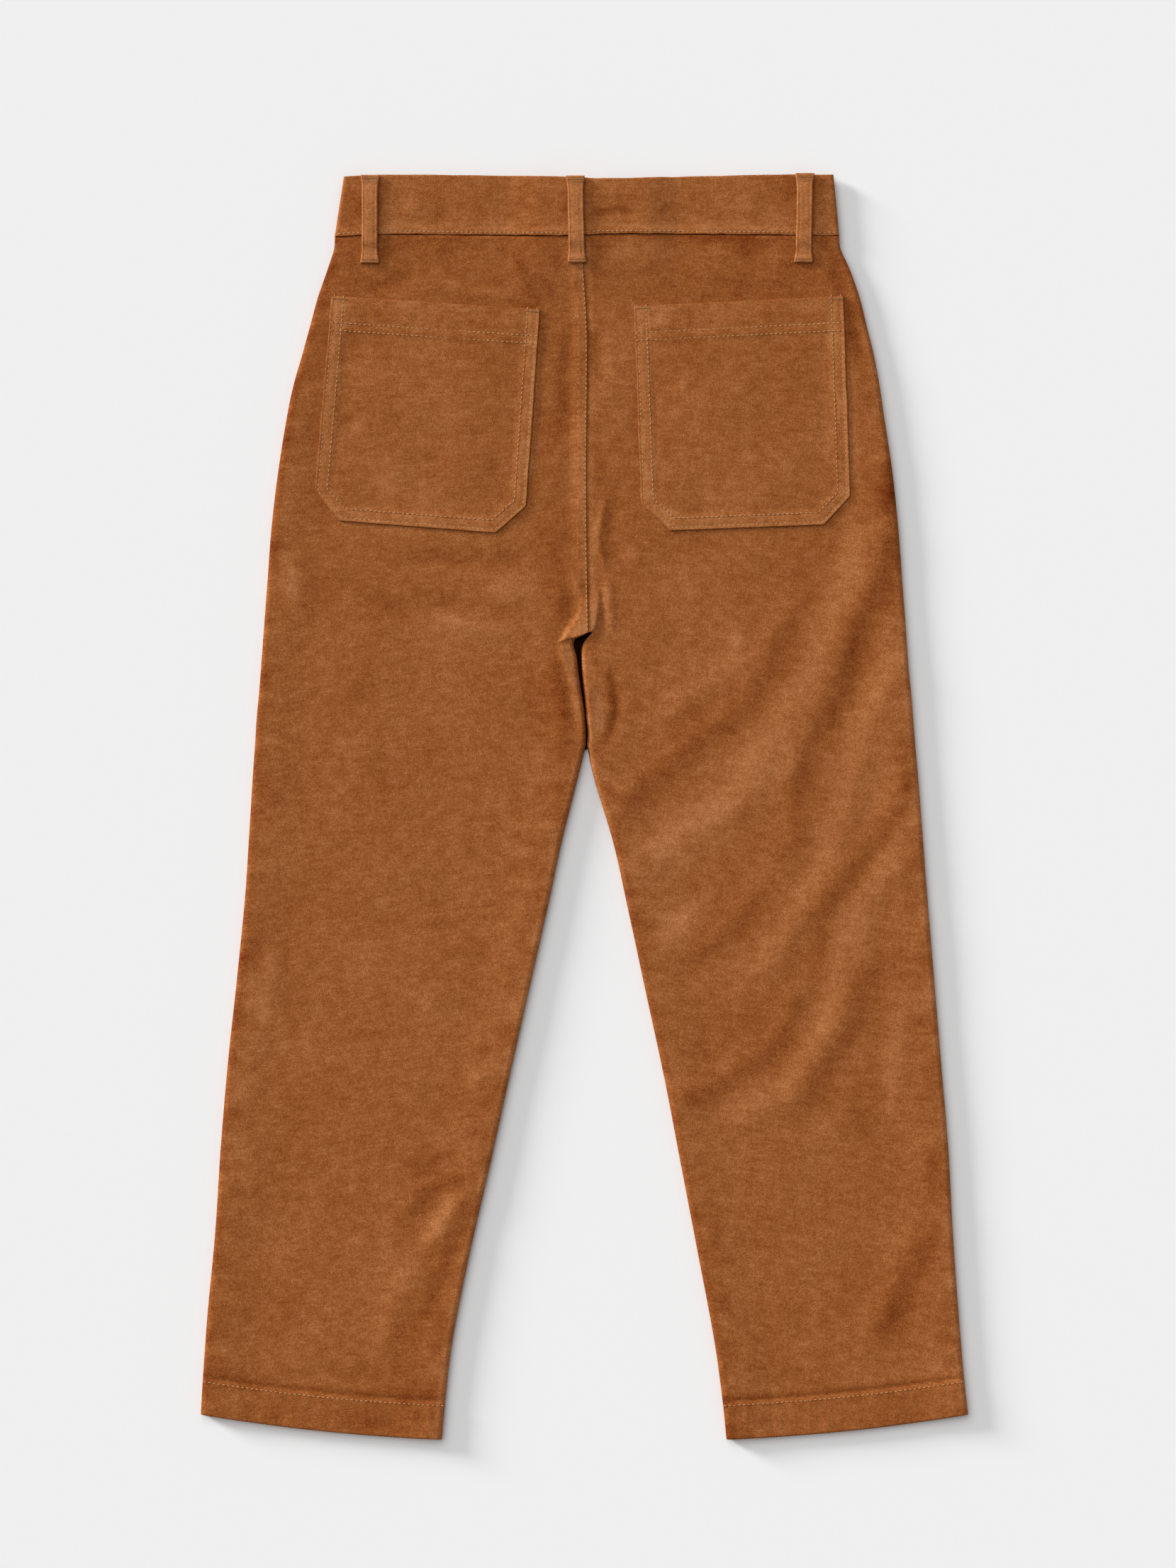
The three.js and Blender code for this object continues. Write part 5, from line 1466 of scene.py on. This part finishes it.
class TROUSERS_OT_belt_loops(bpy.types.Operator):
    """Make the five belt loops, turned under, the three at the back tacked at both ends."""

    bl_idname = "trousers.belt_loops"
    bl_label = "Belt loops"

    def execute(self, context):
        for word, ends in BACK_LOOPS.items():
            self.loop(word, ends)
        for word, ends in FRONT_LOOPS.items():
            self.flat_loop(word, ends)
        return {"FINISHED"}

    def seat(self, x, y):
        """What a back loop lies on: the band, and below its seam the seat."""
        level = back_level(x, y, np.full(np.shape(x), SAG_REACH)) + FELL_RISE * (np.abs(x + 4) < 9)
        band = WAIST_TOP + BAND_LIFT * hump(x) + 0.45
        return np.maximum(level + (band - level) * ease(338, 344, y), level) + LOOP["lift"]

    def grid(self, ends, cloth):
        (tx, ty), (bx, by) = ends
        length = ty - by
        down = graded(length, 1.1)[:, None]
        across = graded(LOOP["end"], 0.9)[None, :] / (LOOP["end"] / 2) - 1
        t = down / length
        held = np.minimum(down, length - down)
        free = ease(0, LOOP["turned"] * 2.5, held)
        half = (LOOP["end"] + (LOOP["waist"] - LOOP["end"]) * free) / 2
        wobble = 0.18 * soft_noise(down + 40 * tx, across * 0, 8, 77)
        x = tx + (bx - tx) * t + across * half + wobble
        y = ty - down + 0 * across
        side = (1 - np.abs(across)) * half
        edges = np.minimum(lip(side + 0.02, 0.9), lip(held + 0.02, 0.9))
        folded = 0.5 * (1 - ease(LOOP["turned"], LOOP["turned"] + 1.2, held))
        thick = cloth * (0.35 + 0.65 * edges) + folded - 0.3 * bell(held - LOOP["tack"], 0.7)
        thick = thick - 0.18 * bell(side - 1.7, 0.6) * ease(3, 6, held)
        thick = thick + 0.12 * soft_noise(x, y, 5, 83)
        return x, y, thick, held

    def loop(self, word, ends):
        x, y, thick, held = self.grid(ends, LOOP["cloth"])
        base = self.seat(x, y) + LOOP["arch"] * ease(LOOP["turned"], LOOP["turned"] * 4, held)
        upper = np.stack([x, y, base + thick], axis=-1)
        lower = np.stack([x, y, base], axis=-1)
        piece = wall(f"loop_back_{word}", upper, lower, 0.0, LOOP_SHADE, ())
        settle(piece, needlecord, "corduroy", f"belt_loop_back_{word}")
        (tx, ty), (bx, by) = ends
        for x0, y0 in ((tx, ty - LOOP["tack"]), (bx, by + LOOP["tack"])):
            z = float(self.seat(x0, y0)) + LOOP["cloth"] + 0.45
            tack((x0 - 5.0, y0), (x0 + 5.0, y0), z, 0.8)

    def flat_loop(self, word, ends):
        x, y, thick, _ = self.grid(ends, FRONT_LOOP_CLOTH - 0.4)
        top = np.full(x.shape, FRONT_LOOP_CLOTH)
        upper = np.stack([x, y, top], axis=-1)
        lower = np.stack([x, y, np.maximum(0, top - thick - 0.4)], axis=-1)
        piece = wall(f"loop_front_{word}", upper, lower, folds=())
        settle(piece, needlecord, "corduroy", f"belt_loop_front_{word}")


class TROUSERS_OT_button(bpy.types.Operator):
    """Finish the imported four-hole waist button, which lies face down under the band."""

    bl_idname = "trousers.button"
    bl_label = "Waist button"

    def execute(self, context):
        node = bpy.data.objects["waist_button"]
        node.data.materials.clear()
        node.data.materials.append(finish_named(button_finish))
        return {"FINISHED"}


def line_mesh(name, lines):
    """One mesh of loose edges through lines of points in millimetres."""
    points = np.concatenate(lines)
    edges = []
    first = 0
    for line in lines:
        edges.extend((first + i, first + i + 1) for i in range(len(line) - 1))
        first += len(line)
    mesh = bpy.data.meshes.new(name)
    mesh.from_pydata((points * MM).tolist(), edges, [])
    made = bpy.data.objects.new(name, mesh)
    bpy.context.scene.collection.objects.link(made)
    return made


def new_tree(name, inputs):
    """A Geometry Nodes tree with named inputs, and its group input's sockets."""
    tree = bpy.data.node_groups.new(name, "GeometryNodeTree")
    tree.is_modifier = True
    tree.interface.new_socket("Geometry", in_out="INPUT", socket_type="NodeSocketGeometry")
    tree.interface.new_socket("Geometry", in_out="OUTPUT", socket_type="NodeSocketGeometry")
    for key, value in inputs.items():
        kind = "NodeSocketInt" if isinstance(value, int) else "NodeSocketFloat"
        tree.interface.new_socket(key, in_out="INPUT", socket_type=kind).default_value = value
    return tree, add(tree, "NodeGroupInput").outputs


def end_tree(tree, geometry, material):
    """Ends a tree in real geometry with its material."""
    real = add(tree, "GeometryNodeRealizeInstances", {"Geometry": geometry})
    smooth = add(tree, "GeometryNodeSetShadeSmooth", {"Geometry": real.outputs["Geometry"]})
    finish = {"Geometry": smooth.outputs["Geometry"], "Material": material}
    painted = add(tree, "GeometryNodeSetMaterial", finish)
    add(tree, "NodeGroupOutput", {0: painted.outputs["Geometry"]})


def stitch_tree(name, material, length, width, height, shift, seed):
    """Stitches along lines: a rounded thread for each pitch, or the hole between two of them."""
    pitch = bpy.context.scene.trousers_stitching.pitch
    inputs = {"Pitch": pitch, "Length": length, "Width": width, "Height": height}
    inputs.update({"Shift": shift, "Seed": seed})
    tree, given = new_tree(name, inputs)
    path = add(tree, "GeometryNodeMeshToCurve", {"Mesh": given["Geometry"]})
    spaced = {"Curve": path.outputs["Curve"], "Length": given["Pitch"]}
    points = add(tree, "GeometryNodeCurveToPoints", spaced, mode="LENGTH")
    turn = add(tree, "FunctionNodeAlignRotationToVector", {"Vector": points.outputs["Tangent"]}, axis="X")
    ball = add(tree, "GeometryNodeMeshUVSphere", {"Segments": 6, "Rings": 5, "Radius": 0.5})
    sizes = {"X": given["Length"], "Y": given["Width"], "Z": given["Height"]}
    size = add(tree, "ShaderNodeCombineXYZ", sizes)
    move = add(tree, "ShaderNodeCombineXYZ", {"X": given["Shift"]})
    shaped = add(
        tree,
        "GeometryNodeTransform",
        {"Geometry": ball.outputs["Mesh"], "Translation": move.outputs[0], "Scale": size.outputs[0]},
    )
    vary = add(
        tree,
        "FunctionNodeRandomValue",
        {"Min": (0.86, 0.85, 0.8), "Max": (1.1, 1.15, 1.15), "Seed": given["Seed"]},
        data_type="FLOAT_VECTOR",
    )
    placed = add(
        tree,
        "GeometryNodeInstanceOnPoints",
        {
            "Points": points.outputs["Points"],
            "Instance": shaped.outputs["Geometry"],
            "Rotation": turn.outputs["Rotation"],
            "Scale": vary.outputs["Value"],
        },
    )
    end_tree(tree, placed.outputs["Instances"], material)
    return tree


def tack_tree(material, radius):
    """A thin thread along each line."""
    tree, given = new_tree("bar tacks", {"Radius": radius})
    path = add(tree, "GeometryNodeMeshToCurve", {"Mesh": given["Geometry"]})
    round_thread = {"Resolution": 5, "Radius": given["Radius"]}
    ring = add(tree, "GeometryNodeCurvePrimitiveCircle", round_thread, mode="RADIUS")
    tube = add(
        tree,
        "GeometryNodeCurveToMesh",
        {"Curve": path.outputs["Curve"], "Profile Curve": ring.outputs["Curve"], "Fill Caps": True},
    )
    end_tree(tree, tube.outputs["Mesh"], material)
    return tree


def grown(name, lines, tree, maker):
    """Runs a tree on lines and keeps the result as a plain mesh."""
    source = line_mesh(name + "_lines", lines)
    modifier = source.modifiers.new("grow", "NODES")
    modifier.node_group = tree
    bpy.context.view_layer.update()
    depsgraph = bpy.context.evaluated_depsgraph_get()
    mesh = bpy.data.meshes.new_from_object(source.evaluated_get(depsgraph))
    mesh.name = name
    made = bpy.data.objects.new(name, mesh)
    bpy.context.scene.collection.objects.link(made)
    bpy.data.objects.remove(source)
    settle(made, maker, "thread")


class TROUSERS_OT_stitching(bpy.types.Operator):
    """Sew the topstitching rows and the bar tacks along the lines that the other pieces gave."""

    bl_idname = "trousers.stitching"
    bl_label = "Stitching"

    def execute(self, context):
        sizes = context.scene.trousers_stitching
        thread = finish_named(thread_finish)
        pitch = sizes.pitch
        rows = stitch_tree("stitch rows", thread, 0.74 * pitch, sizes.thread, 0.8 * sizes.thread, 0.0, 5)
        grown("topstitching", LINES["rows"], rows, thread_finish)
        # The needle holes are dark specks of painted shade between the stitches.
        hole_shade = finish_named(hole_finish)
        holes = stitch_tree("needle holes", hole_shade, 0.22 * pitch, 0.42 * MM, 0.2 * MM, 0.5 * pitch, 9)
        grown("needle_holes", LINES["rows"], holes, hole_finish)
        grown("bar_tacks", LINES["tacks"], tack_tree(thread, 0.19 * MM), thread_finish)
        return {"FINISHED"}


# The camera looks straight down. The view's long side takes in this much, its middle is here, and both
# hold at this level.
VIEW_LONG = 951.2
VIEW_MIDDLE = (2.15, 13.76)
VIEW_LEVEL = 5.0
LENS = 100.0
SENSOR = 36.0
VIEW_END = 20.0
# The floor, in metres: how far it reaches to each side, and its level, just under the cloth
FLOOR_REACH = 12.0
FLOOR_LEVEL = -0.0002


def sun(name, azimuth, elevation, strength, spread):
    """A broad, even white light. Azimuth is where it comes from, counterclockwise from +X, in degrees."""
    lamp = bpy.data.lights.new(name, "SUN")
    lamp.energy = strength
    lamp.angle = math.radians(spread)
    made = bpy.data.objects.new(name, lamp)
    made.rotation_euler = (0, math.radians(90 - elevation), math.radians(azimuth))
    bpy.context.scene.collection.objects.link(made)


class TROUSERS_OT_studio(bpy.types.Operator):
    """Set the pale floor, the soft lights and the camera straight above."""

    bl_idname = "trousers.studio"
    bl_label = "Studio"

    def execute(self, context):
        scene = context.scene
        scene.view_settings.view_transform = "Standard"
        self.floor(scene)
        self.lights(scene)
        camera = bpy.data.cameras.new("camera")
        camera.lens = LENS
        camera.sensor_width = SENSOR
        camera.clip_end = VIEW_END
        made = bpy.data.objects.new("camera", camera)
        height = VIEW_LONG * LENS / SENSOR + VIEW_LEVEL
        made.location = (VIEW_MIDDLE[0] * MM, VIEW_MIDDLE[1] * MM, height * MM)
        scene.collection.objects.link(made)
        scene.camera = made
        return {"FINISHED"}

    def floor(self, scene):
        mesh = bpy.data.meshes.new("floor")
        corners = ((-1, -1), (1, -1), (1, 1), (-1, 1))
        points = [(x * FLOOR_REACH, y * FLOOR_REACH, FLOOR_LEVEL) for x, y in corners]
        mesh.from_pydata(points, [], [(0, 1, 2, 3)])
        made = bpy.data.objects.new("floor", mesh)
        scene.collection.objects.link(made)
        paper, _, shader = new_material(
            "matt white background paper", Roughness=0.95, Specular_IOR_Level=0.1
        )
        shader.inputs["Base Color"].default_value = linear("#EDEDED")
        mesh.materials.append(paper)

    def lights(self, scene):
        world = bpy.data.worlds.new("studio air")
        scene.world = world
        world.use_nodes = True
        sky = world.node_tree.nodes["Background"]
        sky.inputs["Color"].default_value = (1, 1, 1, 1)
        sky.inputs["Strength"].default_value = 0.3
        sun("overhead softbox", azimuth=130, elevation=57, strength=1.55, spread=55)
        sun("low softbox", azimuth=150, elevation=12.8, strength=4.4, spread=15)


class TROUSERS_PT_panel(bpy.types.Panel):
    """Lists the pieces, with the sizes that they read."""

    bl_idname = "TROUSERS_PT_panel"
    bl_label = "Corduroy trousers"
    bl_space_type = "VIEW_3D"
    bl_region_type = "UI"
    bl_category = "Trousers"

    def draw(self, context):
        layout = self.layout
        for group in (context.scene.trousers_cloth, context.scene.trousers_stitching):
            for key in group.bl_rna.properties.keys():
                if key not in ("rna_type", "name"):
                    layout.prop(group, key)
        for operator in OPERATORS:
            layout.operator(operator.bl_idname)


OPERATORS = (
    TROUSERS_OT_studio,
    TROUSERS_OT_back_panels,
    TROUSERS_OT_front_panels,
    TROUSERS_OT_waistband,
    TROUSERS_OT_patch_pockets,
    TROUSERS_OT_belt_loops,
    TROUSERS_OT_button,
    TROUSERS_OT_stitching,
)
CLASSES = (TrousersCloth, TrousersStitching, *OPERATORS, TROUSERS_PT_panel)


def register():
    for cls in CLASSES:
        bpy.utils.register_class(cls)
    bpy.types.Scene.trousers_cloth = bpy.props.PointerProperty(type=TrousersCloth)
    bpy.types.Scene.trousers_stitching = bpy.props.PointerProperty(type=TrousersStitching)


def unregister():
    del bpy.types.Scene.trousers_stitching
    del bpy.types.Scene.trousers_cloth
    for cls in reversed(CLASSES):
        bpy.utils.unregister_class(cls)


def main():
    register()
    bpy.ops.trousers.studio()
    bpy.ops.trousers.back_panels()
    bpy.ops.trousers.front_panels()
    bpy.ops.trousers.waistband()
    bpy.ops.trousers.patch_pockets()
    bpy.ops.trousers.belt_loops()
    bpy.ops.trousers.button()
    bpy.ops.trousers.stitching()


if __name__ == "__main__":
    main()
